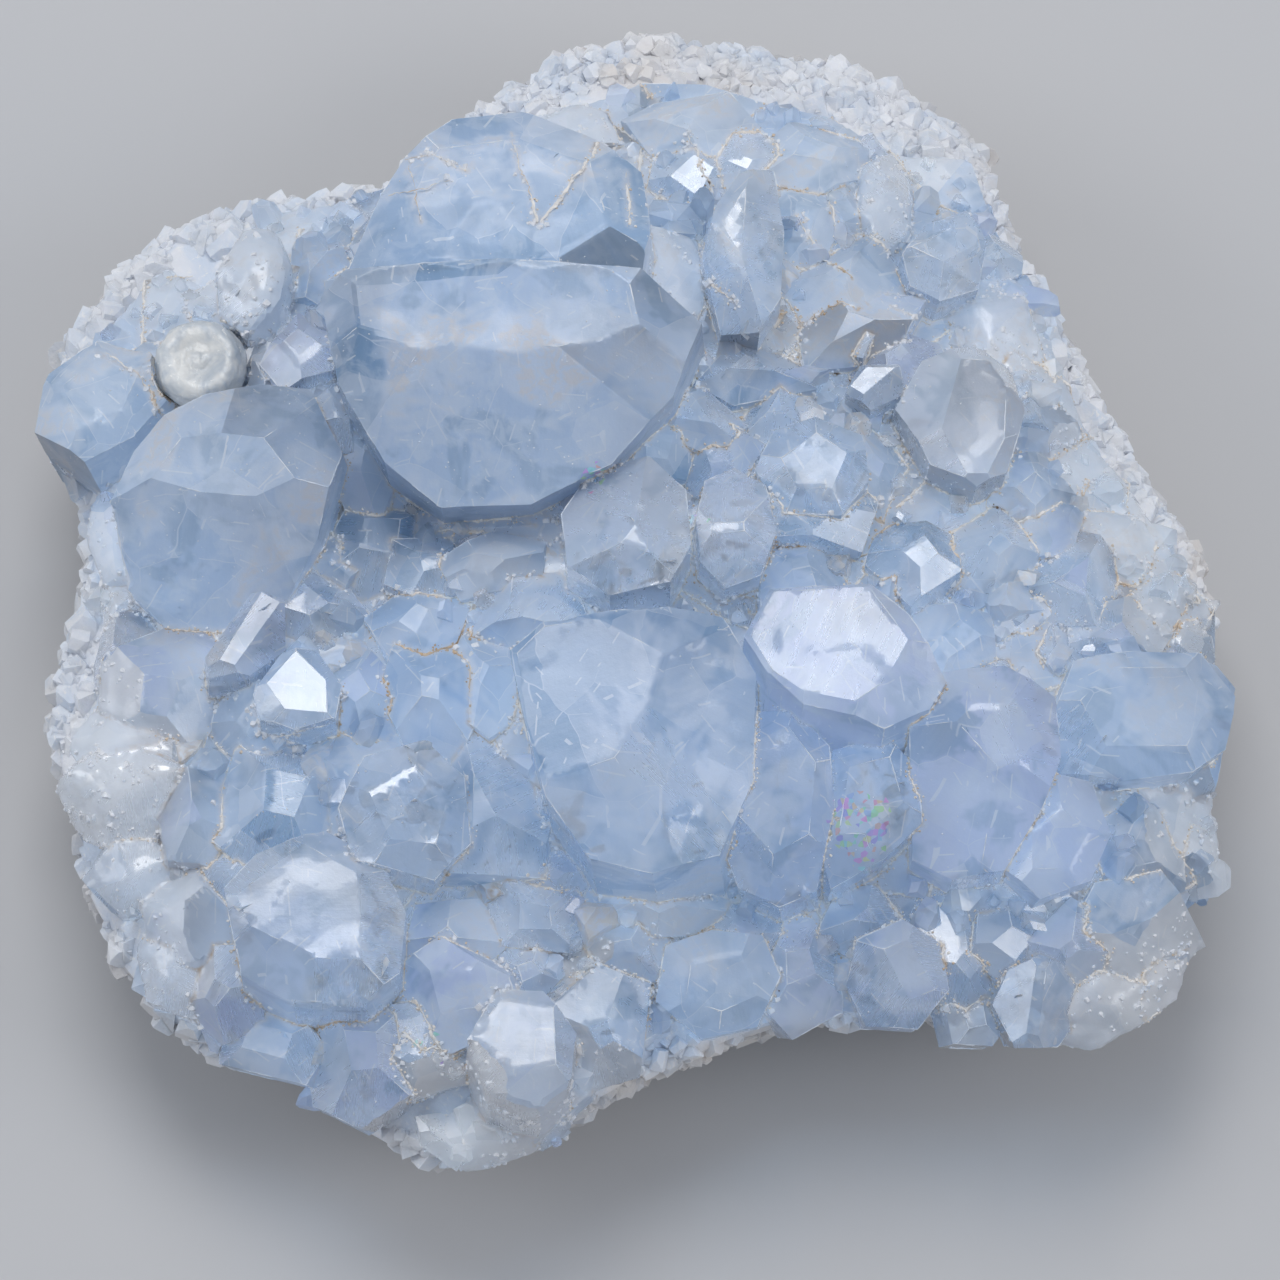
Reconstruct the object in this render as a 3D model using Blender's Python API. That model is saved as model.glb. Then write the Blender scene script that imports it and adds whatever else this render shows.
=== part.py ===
"""A celestite cluster: a crust of blue crystals grown on its pale rind, with one small calcite nodule.

The cluster lies on a flat spot under the rind. The origin is the middle of that spot, +Z is up, and -Y is
the side that the viewer stands on. Every length below is in grid units, and GRID turns them into metres.
"""

import math
import random

import bmesh
import bpy
import numpy as np
from mathutils import Matrix, Vector, noise

# One grid unit in metres, which sets the size of the whole cluster
GRID = 0.00082
SEED = 11

# The rind, a domed slab with a lumpy broken surface
RIM_HEIGHT = 18.0
DOME_HEIGHT = 13.0
DOME_POWER = 1.3
SWELL_FADE = 4
FOOT_SHARE = 0.44
UNDERSIDE_POWER = 0.55
RIND_SEGMENTS = 52
RIND_RINGS = 20

# Lumps on the rind, as (wavelength, height), and ledges where it broke off in plates
LUMPS = ((15.0, 1.5), (6.5, 1.1))
LEDGE_SPACING = 11.0
LEDGE_HEIGHT = 0.65
LEDGE_COUNT = 1.8
LEDGE_STEEPNESS = 2.5
LEDGE_SEED = Vector((7.0, 3.0, 1.0))

# Neighbouring solids are kept apart by moving their surfaces away from a point inside, the core
GAP = 0.4
CORE = Vector((0.0, 0.0, 9.0))
LEAST_SLANT = 0.4

# The bed of fused crystal that every crystal stands on
BED_THICKNESS = 2.3
BED_TUCK = 1.5
BED_UNDER_RIM = 2.0

# The layout below is given as it is seen from this height above the horizon, from the -Y side
SIGHT_ELEVATION = math.radians(70.0)
SIGHT_STEPS = 20

# The widest outline of the rind, in plan
RIM_POINTS = (
    (58.0, -6.0), (57.5, 2.0), (55.0, 8.5), (49.0, 15.5), (45.8, 22.5), (43.5, 29.0), (41.5, 35.0),
    (39.0, 41.0), (34.5, 50.0), (29.5, 55.5), (19.0, 60.5), (10.5, 63.0), (1.5, 64.0), (-5.5, 62.0),
    (-12.0, 58.0), (-19.0, 52.5), (-25.5, 47.5), (-33.0, 45.5), (-39.5, 45.5), (-46.5, 42.0),
    (-54.0, 36.5), (-60.0, 28.5), (-60.0, 22.0), (-55.5, 12.0), (-56.0, 3.0), (-57.5, -6.0),
    (-58.0, -17.5), (-55.5, -26.0), (-51.5, -36.0), (-45.5, -43.5), (-36.0, -46.0), (-29.5, -51.5),
    (-22.0, -56.0), (-12.5, -54.8), (-3.5, -50.5), (4.0, -44.5), (15.0, -41.5), (27.0, -40.5),
    (38.0, -41.5), (47.0, -41.5), (53.5, -34.0), (56.5, -24.0), (57.0, -14.0),
)

# How far out the crust reaches, as (direction in degrees, share of the way to the rim)
CRUST_EDGE = (
    (-180.0, 0.88), (-150.0, 0.88), (-125.0, 0.86), (-105.0, 0.80), (-90.0, 0.95), (-60.0, 0.99),
    (-20.0, 0.99), (10.0, 0.95), (40.0, 0.92), (60.0, 0.88), (90.0, 0.84), (115.0, 0.92),
    (140.0, 0.88), (160.0, 0.95), (180.0, 0.88),
)

# Swells and hollows of the ground under the crust: (x, y, radius, height)
SWELLS = (
    (-14.0, 26.0, 22.0, 6.0),
    (26.0, -12.0, 26.0, 4.0),
    (-28.0, 8.0, 13.0, -5.5),
    (22.0, -34.0, 26.0, -4.5),
    (-48.0, 24.0, 16.0, 1.5),
)

# Crystals that stand out, as they are seen: (rise above the ground, lean to the right, lean away from the
# viewer, slope of the faces around the top in degrees), the outline, and the outline of the top face
LEADING_CRYSTALS = (
    # The largest one, which slopes towards the viewer, and the plateau behind it
    (
        (17.0, -0.03, -0.16, 27.0),
        ((-31.6, 38.3), (-29.0, 41.1), (-14.0, 42.1), (0.0, 41.1), (6.0, 36.1), (3.2, 28.8), (-3.0, 22.8),
         (-11.0, 19.2), (-20.0, 19.0), (-25.5, 23.1), (-30.0, 30.3)),
        ((-28.0, 39.3), (-14.0, 40.5), (-1.0, 39.3), (0.0, 35.3), (-8.0, 33.1), (-21.0, 33.8),
         (-27.5, 35.3)),
    ),
    (
        (15.5, -0.04, 0.14, 30.0),
        ((-29.5, 42.1), (-27.2, 46.8), (-23.5, 53.3), (-19.0, 57.7), (-12.0, 58.5), (-5.0, 55.5),
         (0.0, 52.3),
         (1.0, 46.3), (0.0, 41.5), (-14.0, 40.3), (-26.0, 40.8)),
        ((-23.0, 49.3), (-20.0, 53.3), (-12.0, 54.3), (-5.0, 51.8), (-3.0, 45.3), (-8.0, 42.1),
         (-21.0, 42.1)),
    ),
    # The long one on the left, with a ridge across it
    (
        (15.0, -0.06, -0.14, 38.0),
        ((-50.5, 23.8), (-47.5, 27.3), (-43.5, 29.8), (-38.2, 31.0), (-33.2, 30.5), (-29.8, 23.5),
         (-32.2, 15.3), (-36.8, 7.3), (-40.5, 4.5), (-45.0, 4.8), (-51.5, 10.8), (-52.8, 18.3)),
        ((-48.5, 20.3), (-45.5, 24.3), (-41.5, 24.8), (-37.3, 24.3), (-34.2, 20.3), (-38.0, 18.5),
         (-43.5, 18.9)),
    ),
    # The pair in the middle
    (
        (15.0, -0.05, -0.02, 25.0),
        ((-12.8, 3.3), (-9.5, 6.1), (-4.0, 7.1), (2.5, 8.3), (8.0, 7.3), (11.2, 2.3), (10.8, -7.7),
         (7.5, -15.0), (1.0, -17.0), (-5.0, -16.0), (-9.2, -10.7), (-11.2, -3.7)),
        ((-12.0, 3.0), (-9.3, 5.6), (-4.0, 6.3), (2.5, 2.8), (1.0, -2.2), (-2.5, -7.2),
         (-9.0, -9.5), (-11.0, -3.7)),
    ),
    (
        (12.5, 0.04, 0.10, 38.0),
        ((10.2, 4.8), (12.8, 9.5), (22.5, 10.0), (26.5, 7.3), (30.2, 1.5), (28.5, -1.2), (24.0, -3.4),
         (16.0, -1.7), (12.5, 1.3)),
        ((10.8, 4.8), (13.2, 9.0), (22.5, 9.5), (26.3, 4.3), (24.0, 0.3), (21.0, -1.7),
         (16.0, -0.7), (13.0, 1.3)),
    ),
    # The row below them
    (
        (13.5, -0.04, -0.14, 40.0),
        ((7.6, -5.7), (10.5, -2.2), (15.0, -2.2), (18.5, -5.7), (19.0, -11.7), (17.2, -19.5), (13.5, -21.2),
         (9.5, -19.2), (7.0, -12.7)),
        ((10.0, -6.2), (14.5, -4.2), (17.2, -7.7), (16.5, -14.7), (13.0, -16.7), (9.5, -12.7)),
    ),
    (
        (12.0, 0.05, -0.12, 40.0),
        ((19.0, -6.2), (24.0, -4.7), (27.2, -7.7), (27.8, -13.2), (24.0, -16.7), (19.0, -19.2),
         (17.5, -15.7)),
        ((20.5, -8.2), (24.5, -7.2), (25.8, -11.7), (22.0, -14.7), (19.5, -14.7)),
    ),
    (
        (13.5, 0.05, -0.12, 33.0),
        ((26.5, -3.2), (29.5, 1.8), (36.0, 2.3), (41.0, -0.7), (41.5, -6.7), (39.5, -11.7), (36.0, -17.2),
         (31.0, -17.9), (27.2, -15.7)),
        ((31.0, -3.7), (32.5, -2.2), (36.0, -2.2), (37.0, -7.7), (35.0, -8.2)),
    ),
    (
        (10.5, 0.18, -0.10, 36.0),
        ((40.8, -3.2), (43.5, 2.8), (49.0, 3.5), (56.0, 3.3), (59.7, -0.7), (58.5, -6.0), (55.0, -8.4),
         (48.0, -9.2), (42.0, -8.2)),
        ((43.5, -1.7), (47.0, 1.5), (54.0, 1.5), (56.0, -2.7), (54.0, -6.2), (46.0, -6.2)),
    ),
    (
        (10.5, 0.10, -0.18, 32.0),
        ((34.5, -16.7), (36.5, -11.7), (40.5, -8.5), (45.0, -9.2), (46.5, -14.7), (44.5, -19.2),
         (39.5, -21.0)),
        ((38.5, -14.7), (41.5, -12.2), (44.0, -14.7), (42.0, -18.2), (38.5, -18.2)),
    ),
    # Left of the middle, towards the viewer
    (
        (12.0, -0.02, -0.04, 35.0),
        ((-40.8, -19.7), (-37.8, -16.2), (-31.0, -13.9), (-25.5, -16.7), (-23.0, -21.7), (-23.5, -27.6),
         (-27.0, -30.7), (-34.0, -30.2), (-39.2, -27.5)),
        ((-39.5, -20.7), (-33.0, -15.7), (-27.5, -18.7), (-27.2, -27.0), (-32.0, -26.7), (-38.0, -23.7)),
    ),
    (
        (11.0, 0.05, -0.12, 35.0),
        ((-29.5, -11.7), (-27.0, -6.7), (-21.0, -5.2), (-17.2, -8.7), (-16.5, -15.2),
         (-20.0, -18.8), (-28.0, -16.7)),
        ((-26.5, -10.7), (-22.0, -8.2), (-19.0, -11.7), (-20.0, -15.7), (-24.5, -15.2)),
    ),
    (
        (9.0, 0.00, 0.06, 38.0),
        ((-38.2, -0.7), (-35.5, 3.3), (-32.0, 3.8), (-29.5, 0.3), (-30.0, -3.2), (-34.0, -4.0),
         (-37.5, -3.0)),
        ((-36.8, 0.0), (-34.0, 3.2), (-31.0, 0.3), (-30.8, -2.9), (-35.0, -2.5)),
    ),
    (
        (9.5, 0.05, 0.05, 45.0),
        ((-43.0, 3.3), (-38.5, 9.3), (-35.2, 8.5), (-35.0, 4.3), (-38.5, 1.3), (-42.5, 1.1)),
        ((-41.5, 2.3), (-37.5, 9.0), (-35.7, 8.0), (-40.0, 1.8)),
    ),
    # The left lobe
    (
        (9.0, -0.20, 0.10, 30.0),
        ((-61.5, 26.3), (-60.0, 31.8), (-55.0, 35.1), (-49.5, 33.8), (-47.5, 29.8), (-51.0, 25.3),
         (-56.0, 22.8)),
        ((-58.0, 29.8), (-54.5, 32.8), (-50.0, 31.8), (-52.0, 27.3), (-56.5, 25.3)),
    ),
    (
        (9.0, -0.08, 0.20, 35.0),
        ((-43.0, 42.3), (-40.0, 46.8), (-36.5, 46.8), (-35.0, 42.3), (-36.5, 38.3), (-39.5, 36.5),
         (-42.5, 38.3)),
        ((-41.5, 42.1), (-39.0, 45.3), (-36.5, 43.8), (-37.8, 39.3)),
    ),
    # The right shoulder and the middle
    (
        (12.0, 0.04, 0.00, 35.0),
        ((6.3, 43.3), (7.8, 48.3), (10.0, 51.3), (13.5, 51.8), (14.5, 46.3), (14.2, 39.3),
         (12.0, 35.5), (8.2, 36.1)),
        ((8.2, 45.8), (10.6, 49.6), (10.2, 42.5)),
    ),
    (
        (10.0, 0.14, 0.08, 36.0),
        ((26.5, 43.3), (29.0, 46.8), (33.0, 47.8), (35.0, 44.8), (34.5, 40.8), (30.5, 39.3), (27.5, 40.8)),
        ((27.3, 43.8), (32.7, 47.1), (34.2, 46.3), (33.8, 44.1), (30.5, 42.3)),
    ),
    (
        (11.5, 0.08, 0.00, 36.0),
        ((25.8, 28.8), (28.5, 33.3), (33.5, 34.1), (37.5, 31.8), (38.5, 27.3), (36.5, 21.3),
         (33.5, 19.8), (29.0, 22.3)),
        ((32.0, 32.3), (35.0, 32.1), (36.5, 29.8), (36.2, 24.3), (34.5, 20.8), (32.5, 20.8), (30.0, 25.3)),
    ),
    (
        (7.5, 0.00, 0.10, 45.0),
        ((20.5, 29.1), (22.0, 32.1), (25.8, 32.1), (26.5, 29.8), (23.0, 27.8)),
        ((21.0, 29.6), (22.6, 31.5), (25.5, 31.5), (22.3, 28.8)),
    ),
    (
        (9.0, 0.04, 0.00, 32.0),
        ((11.5, 21.8), (13.5, 25.8), (17.5, 26.8), (22.2, 25.3), (22.8, 20.8), (20.0, 17.1), (14.0, 17.3)),
        ((14.0, 22.3), (17.5, 24.8), (20.5, 22.8), (19.0, 19.3), (15.5, 19.3)),
    ),
    (
        (12.5, 0.00, -0.04, 33.0),
        ((-7.8, 18.3), (-5.0, 22.5), (1.0, 23.3), (4.5, 20.3), (5.0, 14.3), (3.0, 10.3),
         (-3.0, 9.5), (-7.2, 12.3)),
        ((-1.9, 13.8), (-0.5, 15.6), (1.0, 12.8)),
    ),
    (
        (10.0, 0.04, -0.06, 33.0),
        ((5.5, 16.3), (6.5, 20.8), (9.5, 22.3), (12.5, 20.3), (13.5, 15.3), (12.0, 11.3),
         (8.5, 10.1), (6.0, 12.3)),
        ((7.0, 15.8), (10.2, 15.9), (10.3, 15.0), (7.0, 14.7)),
    ),
    # The nearest row
    (
        (9.5, -0.02, -0.28, 33.0),
        ((1.5, -31.2), (2.5, -25.7), (7.0, -24.2), (12.0, -24.7), (13.8, -28.7), (11.5, -33.7),
         (6.0, -34.9)),
        ((5.0, -27.7), (10.0, -26.7), (11.5, -30.7), (8.0, -32.2), (4.5, -31.2)),
    ),
    (
        (9.5, 0.05, -0.28, 38.0),
        ((20.5, -29.7), (21.5, -25.2), (26.0, -23.2), (30.0, -25.7), (30.5, -30.2), (27.5, -34.0),
         (22.5, -33.7)),
        ((24.0, -26.2), (26.5, -25.2), (29.0, -30.2), (26.5, -31.2)),
    ),
    (
        (10.0, 0.08, -0.35, 42.0),
        ((35.0, -31.7), (36.5, -28.2), (39.5, -26.7), (43.0, -28.2), (44.2, -32.2), (41.5, -35.9),
         (37.0, -36.0)),
        ((39.0, -27.7), (40.0, -27.9), (39.2, -34.7), (38.0, -34.4)),
    ),
    (
        (10.0, 0.00, 0.04, 32.0),
        ((-17.2, -35.2), (-14.0, -29.8), (-9.5, -29.8), (-6.2, -33.7), (-6.8, -39.0),
         (-10.0, -41.0), (-15.0, -40.0)),
        ((-16.5, -34.7), (-13.5, -30.9), (-8.5, -31.7), (-8.2, -37.2), (-13.0, -38.0)),
    ),
)

# The other crystals of the crust: across, up, half length, half width and turn of the long side in degrees
CRUST_CRYSTALS = (
    # Three between the leading ones
    (-25.5, 38.5, 5.5, 4.0, 62.0), (-21.0, -34.0, 3.6, 3.0, 20.0), (16.0, -29.0, 5.2, 4.0, 92.0),
    # Along the far edge
    (-4.0, 50.5, 4.2, 3.7, 90.0), (-8.0, 57.0, 4.7, 2.4, 15.0), (5.0, 57.0, 6.0, 3.0, 0.0),
    (5.0, 51.0, 4.0, 3.7, 30.0), (10.5, 53.0, 3.8, 3.4, 0.0), (18.0, 54.5, 5.2, 3.2, 0.0),
    (16.3, 47.0, 4.6, 3.0, 85.0), (21.2, 47.5, 3.3, 3.0, 80.0), (25.2, 49.8, 4.4, 2.3, 85.0),
    (1.8, 40.5, 5.8, 4.0, 75.0), (3.5, 47.2, 3.3, 2.7, 60.0), (20.2, 41.0, 5.5, 4.8, 20.0),
    # The right shoulder
    (22.0, 36.0, 6.2, 3.1, 25.0), (36.0, 43.6, 2.6, 2.2, 0.0), (38.0, 39.6, 2.8, 2.4, 0.0),
    (35.3, 37.0, 5.4, 4.4, -35.0), (37.5, 31.6, 4.2, 3.2, 20.0), (25.8, 32.8, 4.5, 3.0, 15.0),
    (12.2, 31.7, 5.2, 2.6, 0.0), (13.5, 27.5, 3.8, 2.6, 40.0), (5.2, 27.2, 4.6, 2.6, -25.0),
    (18.5, 24.8, 5.7, 3.3, 0.0), (40.3, 25.2, 3.7, 3.3, 0.0), (39.8, 20.0, 3.6, 3.3, 0.0),
    (23.8, 21.5, 4.2, 3.2, 110.0), (41.4, 15.8, 3.0, 2.5, 0.0), (47.6, 14.4, 4.3, 3.0, -15.0),
    # The middle
    (1.8, 23.3, 3.3, 3.0, 0.0), (7.8, 22.3, 3.7, 3.0, 60.0), (16.8, 19.0, 6.1, 4.5, -10.0),
    (27.2, 13.5, 3.9, 3.8, 0.0), (35.3, 14.0, 5.1, 4.2, 30.0), (44.1, 10.5, 4.8, 4.2, 20.0),
    (16.8, 11.2, 4.1, 3.8, 70.0), (24.0, 9.0, 2.8, 2.3, 0.0), (37.2, 8.0, 3.1, 2.9, 0.0),
    (30.5, 5.2, 4.3, 3.7, 0.0), (40.5, 4.0, 3.0, 2.6, 0.0), (48.0, 4.6, 5.2, 3.3, 0.0),
    (34.8, -1.4, 7.2, 3.9, -10.0), (51.8, 7.6, 4.4, 3.4, 0.0), (55.0, 3.4, 3.1, 2.7, 90.0),
    # The hollow on the left of the middle
    (-15.0, 12.0, 4.8, 2.7, 10.0), (-12.8, 6.8, 5.8, 3.2, 18.0), (-33.0, 8.0, 4.6, 3.0, 0.0),
    (-31.8, 12.4, 3.4, 2.5, 10.0), (-26.8, 14.5, 4.4, 4.2, 60.0), (-21.2, 12.0, 3.9, 2.9, -10.0),
    (-22.5, 6.4, 4.6, 3.6, 20.0), (-28.5, 22.5, 4.6, 3.0, 115.0), (-32.2, 27.6, 3.6, 2.9, 105.0),
    (-34.0, 34.0, 3.6, 2.9, 20.0), (-29.8, 40.5, 3.6, 2.9, 60.0), (-37.8, 31.5, 2.6, 2.2, 0.0),
    # The left lobe and the left edge
    (-32.8, 43.0, 3.4, 2.7, 60.0), (-26.8, 45.4, 3.6, 2.5, 30.0), (-51.0, 32.0, 5.2, 2.9, 25.0),
    (-45.5, 26.0, 3.6, 2.7, 10.0), (-57.6, 24.6, 2.7, 2.2, 0.0), (-52.8, 16.0, 4.9, 2.9, 95.0),
    (-52.6, 8.5, 3.1, 2.6, 0.0), (-52.6, 2.8, 4.5, 3.2, 80.0), (-47.6, 0.0, 6.0, 5.6, 40.0),
    (-53.2, -4.8, 4.3, 3.4, 0.0), (-52.4, -11.5, 5.8, 4.8, 0.0), (-47.4, -6.6, 3.8, 3.4, 0.0),
    (-44.5, -12.5, 4.8, 3.5, 90.0), (-50.5, -19.0, 4.1, 3.3, 0.0), (-45.5, -22.8, 4.6, 3.6, 0.0),
    (-46.5, -28.6, 4.4, 3.6, 100.0), (-41.8, -30.4, 4.4, 3.6, 80.0), (-37.8, -35.2, 4.9, 3.3, -10.0),
    # The near side, left of the middle
    (-28.5, -0.5, 4.4, 4.2, 0.0), (-38.4, -3.6, 4.4, 3.8, 60.0), (-21.0, -0.5, 6.6, 4.0, 95.0),
    (-15.8, 0.8, 4.6, 3.3, 100.0), (-15.8, -10.8, 7.6, 5.8, 100.0), (-36.5, -11.0, 5.6, 5.2, 60.0),
    (-28.7, -9.5, 4.6, 4.2, 40.0), (-39.7, -18.3, 3.5, 3.3, 0.0), (-10.3, -14.2, 3.7, 2.6, 90.0),
    (-18.8, -30.8, 5.2, 4.2, -20.0), (-18.8, -24.6, 4.6, 3.3, 0.0), (-28.5, -36.6, 5.7, 4.8, 0.0),
    (-20.8, -37.6, 4.2, 3.1, 5.0), (-11.2, -40.4, 4.8, 3.5, 12.0), (-16.5, -44.0, 4.6, 3.1, 0.0),
    # The near side, right of the middle
    (-10.5, -22.6, 4.8, 3.1, -15.0), (-8.5, -18.8, 5.0, 2.4, -10.0), (1.5, -21.8, 6.4, 2.9, 5.0),
    (-1.5, -26.0, 4.7, 3.1, -20.0), (5.0, -25.0, 2.9, 2.5, 90.0), (-11.0, -28.2, 3.0, 2.6, 0.0),
    (-3.8, -29.8, 3.7, 3.0, -20.0), (-3.6, -34.4, 5.2, 4.7, 60.0), (10.5, -24.5, 5.4, 2.9, -10.0),
    (23.0, -23.2, 4.8, 2.8, 10.0), (28.5, -26.4, 3.0, 2.8, 0.0),
    (32.5, -27.6, 5.2, 4.0, 110.0), (37.5, -25.6, 3.5, 2.9, 0.0), (42.6, -26.4, 4.2, 3.6, 60.0),
    (33.6, -33.2, 2.8, 2.4, 0.0), (50.3, -17.0, 4.5, 4.1, 100.0), (55.6, -16.2, 4.7, 3.0, 95.0),
    (55.2, -4.2, 5.4, 4.4, 70.0), (49.5, -24.8, 6.4, 4.5, 10.0), (46.2, -31.4, 5.2, 3.2, 15.0),
    (51.6, -27.6, 4.0, 3.4, 50.0),
)

# Their rise is a base and a share of their width. Near the edge of the crust they lean outwards.
ORDINARY_RISE = (2.4, 0.80)
RISE_SCATTER = 0.8
ORDINARY_SLOPE = (28.0, 44.0)
OUTWARD_LEAN = 0.38
EDGE_RADIUS = 60.0
RANDOM_LEAN = 0.20

# They are drawn larger than the part of them that is seen, so that neighbours grow into each other
GROWTH = 1.32
TOP_SHARE = (0.25, 0.6)
TOP_SHIFT = 0.4

# How unevenly crystals are cut: corner places, corner distances and slopes in degrees
CORNER_SCATTER = 0.22
REACH = (0.92, 1.08)
SLOPE_SCATTER = 6.0

# How deep a crystal's foot goes, at most, and as a share of the rind's thickness
ROOT = 9.0
ROOT_SHARE = 0.36

# The calcite nodule on the left lobe
NODULE_SEEN = (-44.0, 31.8)
NODULE_RADII = (4.8, 4.6, 3.7)
NODULE_RISE = 7.9
NODULE_UNEVENNESS = (1.7, 0.10)
DIMPLE_DEPTH = 1.1
DIMPLE_RADIUS = 0.35

RIM_ANGLES, RIM_RADII = zip(*sorted((math.atan2(y, x), math.hypot(x, y)) for x, y in RIM_POINTS))


def clear_scene():
    for thing in list(bpy.data.objects):
        bpy.data.objects.remove(thing)


def new_collection(name):
    made = bpy.data.collections.new(name)
    bpy.context.scene.collection.children.link(made)
    return made


def rim_radius(angle):
    """Distance from the middle to the rim in this direction."""
    return float(np.interp(angle, RIM_ANGLES, RIM_RADII, period=2 * math.pi))


def crust_share(angle):
    directions, shares = zip(*CRUST_EDGE)
    return float(np.interp(math.degrees(angle), directions, shares))


def swell(x, y):
    return sum(h * math.exp(-((x - cx) ** 2 + (y - cy) ** 2) / r**2) for cx, cy, r, h in SWELLS)


def ground_height(x, y):
    """Height of the rind's top under this point, without its lumps."""
    share = min(1.0, math.hypot(x, y) / rim_radius(math.atan2(y, x)))
    inward = math.sqrt(1.0 - share * share)
    return RIM_HEIGHT + DOME_HEIGHT * inward**DOME_POWER + swell(x, y) * (1.0 - share**SWELL_FADE)


def underside_height(share):
    """Height of the rind's underside, below zero where the foot is cut flat."""
    depth = (1.0 - share**3) ** UNDERSIDE_POWER / (1.0 - FOOT_SHARE**3) ** UNDERSIDE_POWER
    return RIM_HEIGHT * (1.0 - depth)


def root_depth(x, y):
    """How deep a crystal's foot may reach here without coming out under the rind."""
    share = min(1.0, math.hypot(x, y) / rim_radius(math.atan2(y, x)))
    return min(ROOT, ROOT_SHARE * (ground_height(x, y) - max(0.0, underside_height(share))))


def lump(point):
    """Height of the broken surface's lumps at a point, with ledges where it broke off in plates."""
    lumps = sum(size * noise.noise(point / wavelength) for wavelength, size in LUMPS)
    level = LEDGE_COUNT * noise.noise(point / LEDGE_SPACING + LEDGE_SEED)
    step = math.floor(level) + min(1.0, LEDGE_STEEPNESS * (level - math.floor(level)))
    return lumps + LEDGE_HEIGHT * step


def rind_mesh():
    """The rind, as a sphere whose latitudes are drawn out to the rim, the dome and the underside."""
    shape = bmesh.new()
    bmesh.ops.create_uvsphere(shape, u_segments=RIND_SEGMENTS, v_segments=RIND_RINGS, radius=1.0)
    for vert in shape.verts:
        on_top = vert.co.z > 0.0
        share = math.hypot(vert.co.x, vert.co.y)
        angle = math.atan2(vert.co.y, vert.co.x)
        reach = share * rim_radius(angle)
        x, y = reach * math.cos(angle), reach * math.sin(angle)
        vert.co = (x, y, ground_height(x, y) if on_top else underside_height(share))
    bmesh.ops.triangulate(shape, faces=shape.faces[:])
    shape.normal_update()
    moves = [vert.normal * lump(vert.co) for vert in shape.verts]
    for vert, move in zip(shape.verts, moves):
        vert.co += move
        vert.co.z = max(0.0, vert.co.z)
    shape.normal_update()
    return shape


def mesh_object(name, shape, collection):
    """A new object from a bmesh in grid units."""
    bmesh.ops.scale(shape, verts=shape.verts, vec=(GRID, GRID, GRID))
    mesh = bpy.data.meshes.new(name)
    shape.to_mesh(mesh)
    shape.free()
    made = bpy.data.objects.new(name, mesh)
    collection.objects.link(made)
    return made


def hide(helper):
    """Marks an object as a cutter or a helper, which isn't part of the cluster."""
    helper.hide_render = True
    helper.display_type = "WIRE"
    return helper


def swell_mesh(shape, distance_at):
    """Moves each point straight away from the core, so far that the surface moves by the distance."""
    moves = []
    for vert in shape.verts:
        away = (vert.co - CORE).normalized()
        moves.append(away * distance_at(vert.co) / max(LEAST_SLANT, vert.normal.dot(away)))
    for vert, move in zip(shape.verts, moves):
        vert.co += move
    return shape


def bed_distance(point):
    """How far the bed stands off the rind here: out under the crust, and tucked in elsewhere."""
    angle = math.atan2(point.y, point.x)
    share = math.hypot(point.x, point.y) / rim_radius(angle)
    under_crust = point.z > RIM_HEIGHT - BED_UNDER_RIM and share < crust_share(angle)
    return BED_THICKNESS if under_crust else -BED_TUCK


def seen_point(across, up, rise):
    """The point that is seen there from the viewer's side, this far above the ground."""
    height = RIM_HEIGHT
    for _ in range(SIGHT_STEPS):
        y = (up - height * math.cos(SIGHT_ELEVATION)) / math.sin(SIGHT_ELEVATION)
        height = 0.5 * (height + ground_height(across, y) + rise)
    return Vector((across, y, height))


def cut_face(shape, through, normal):
    """Cuts a flat face on a convex shape and closes it."""
    everything = shape.verts[:] + shape.edges[:] + shape.faces[:]
    bmesh.ops.bisect_plane(shape, geom=everything, plane_co=through, plane_no=normal, clear_outer=True)
    bmesh.ops.holes_fill(shape, edges=shape.edges[:], sides=0)


def crystal_shape(outline, top, slope, length, rng):
    """A prism on an outline, with sloping faces cut around the outline of its top."""
    shape = bmesh.new()
    bmesh.ops.create_circle(shape, cap_ends=True, segments=len(outline), radius=1.0)
    for vert, corner in zip(shape.verts[:], outline):
        vert.co = (*corner, 0.0)
    drawn = bmesh.ops.extrude_face_region(shape, geom=shape.faces[:])
    foot = [part for part in drawn["geom"] if isinstance(part, bmesh.types.BMVert)]
    bmesh.ops.translate(shape, verts=foot, vec=(0.0, 0.0, -length))
    bmesh.ops.recalc_face_normals(shape, faces=shape.faces[:])
    middle = sum((Vector(corner) for corner in top), Vector((0.0, 0.0))) / len(top)
    for start, end in zip(top, (*top[1:], top[0])):
        along = Vector(end) - Vector(start)
        outward = Vector((along.y, -along.x)).normalized()
        between = 0.5 * (Vector(start) + Vector(end))
        if outward.dot(between - middle) < 0.0:
            outward.negate()
        tilt = math.radians(slope + rng.uniform(-SLOPE_SCATTER, SLOPE_SCATTER))
        cut_face(shape, (*between, 0.0), (*(outward * math.sin(tilt)), math.cos(tilt)))
    return shape


def ring(half_long, half_short, corners, shift, rng):
    """An uneven polygon with its corners on an ellipse."""
    first = rng.uniform(0.0, 360.0 / corners)
    points = []
    for number in range(corners):
        turn = math.radians(first + (number + rng.uniform(-CORNER_SCATTER, CORNER_SCATTER)) * 360.0 / corners)
        reach = rng.uniform(*REACH)
        x = half_long * (reach * math.cos(turn) + shift[0])
        y = half_short * (reach * math.sin(turn) + shift[1])
        points.append((x, y))
    return points


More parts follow.
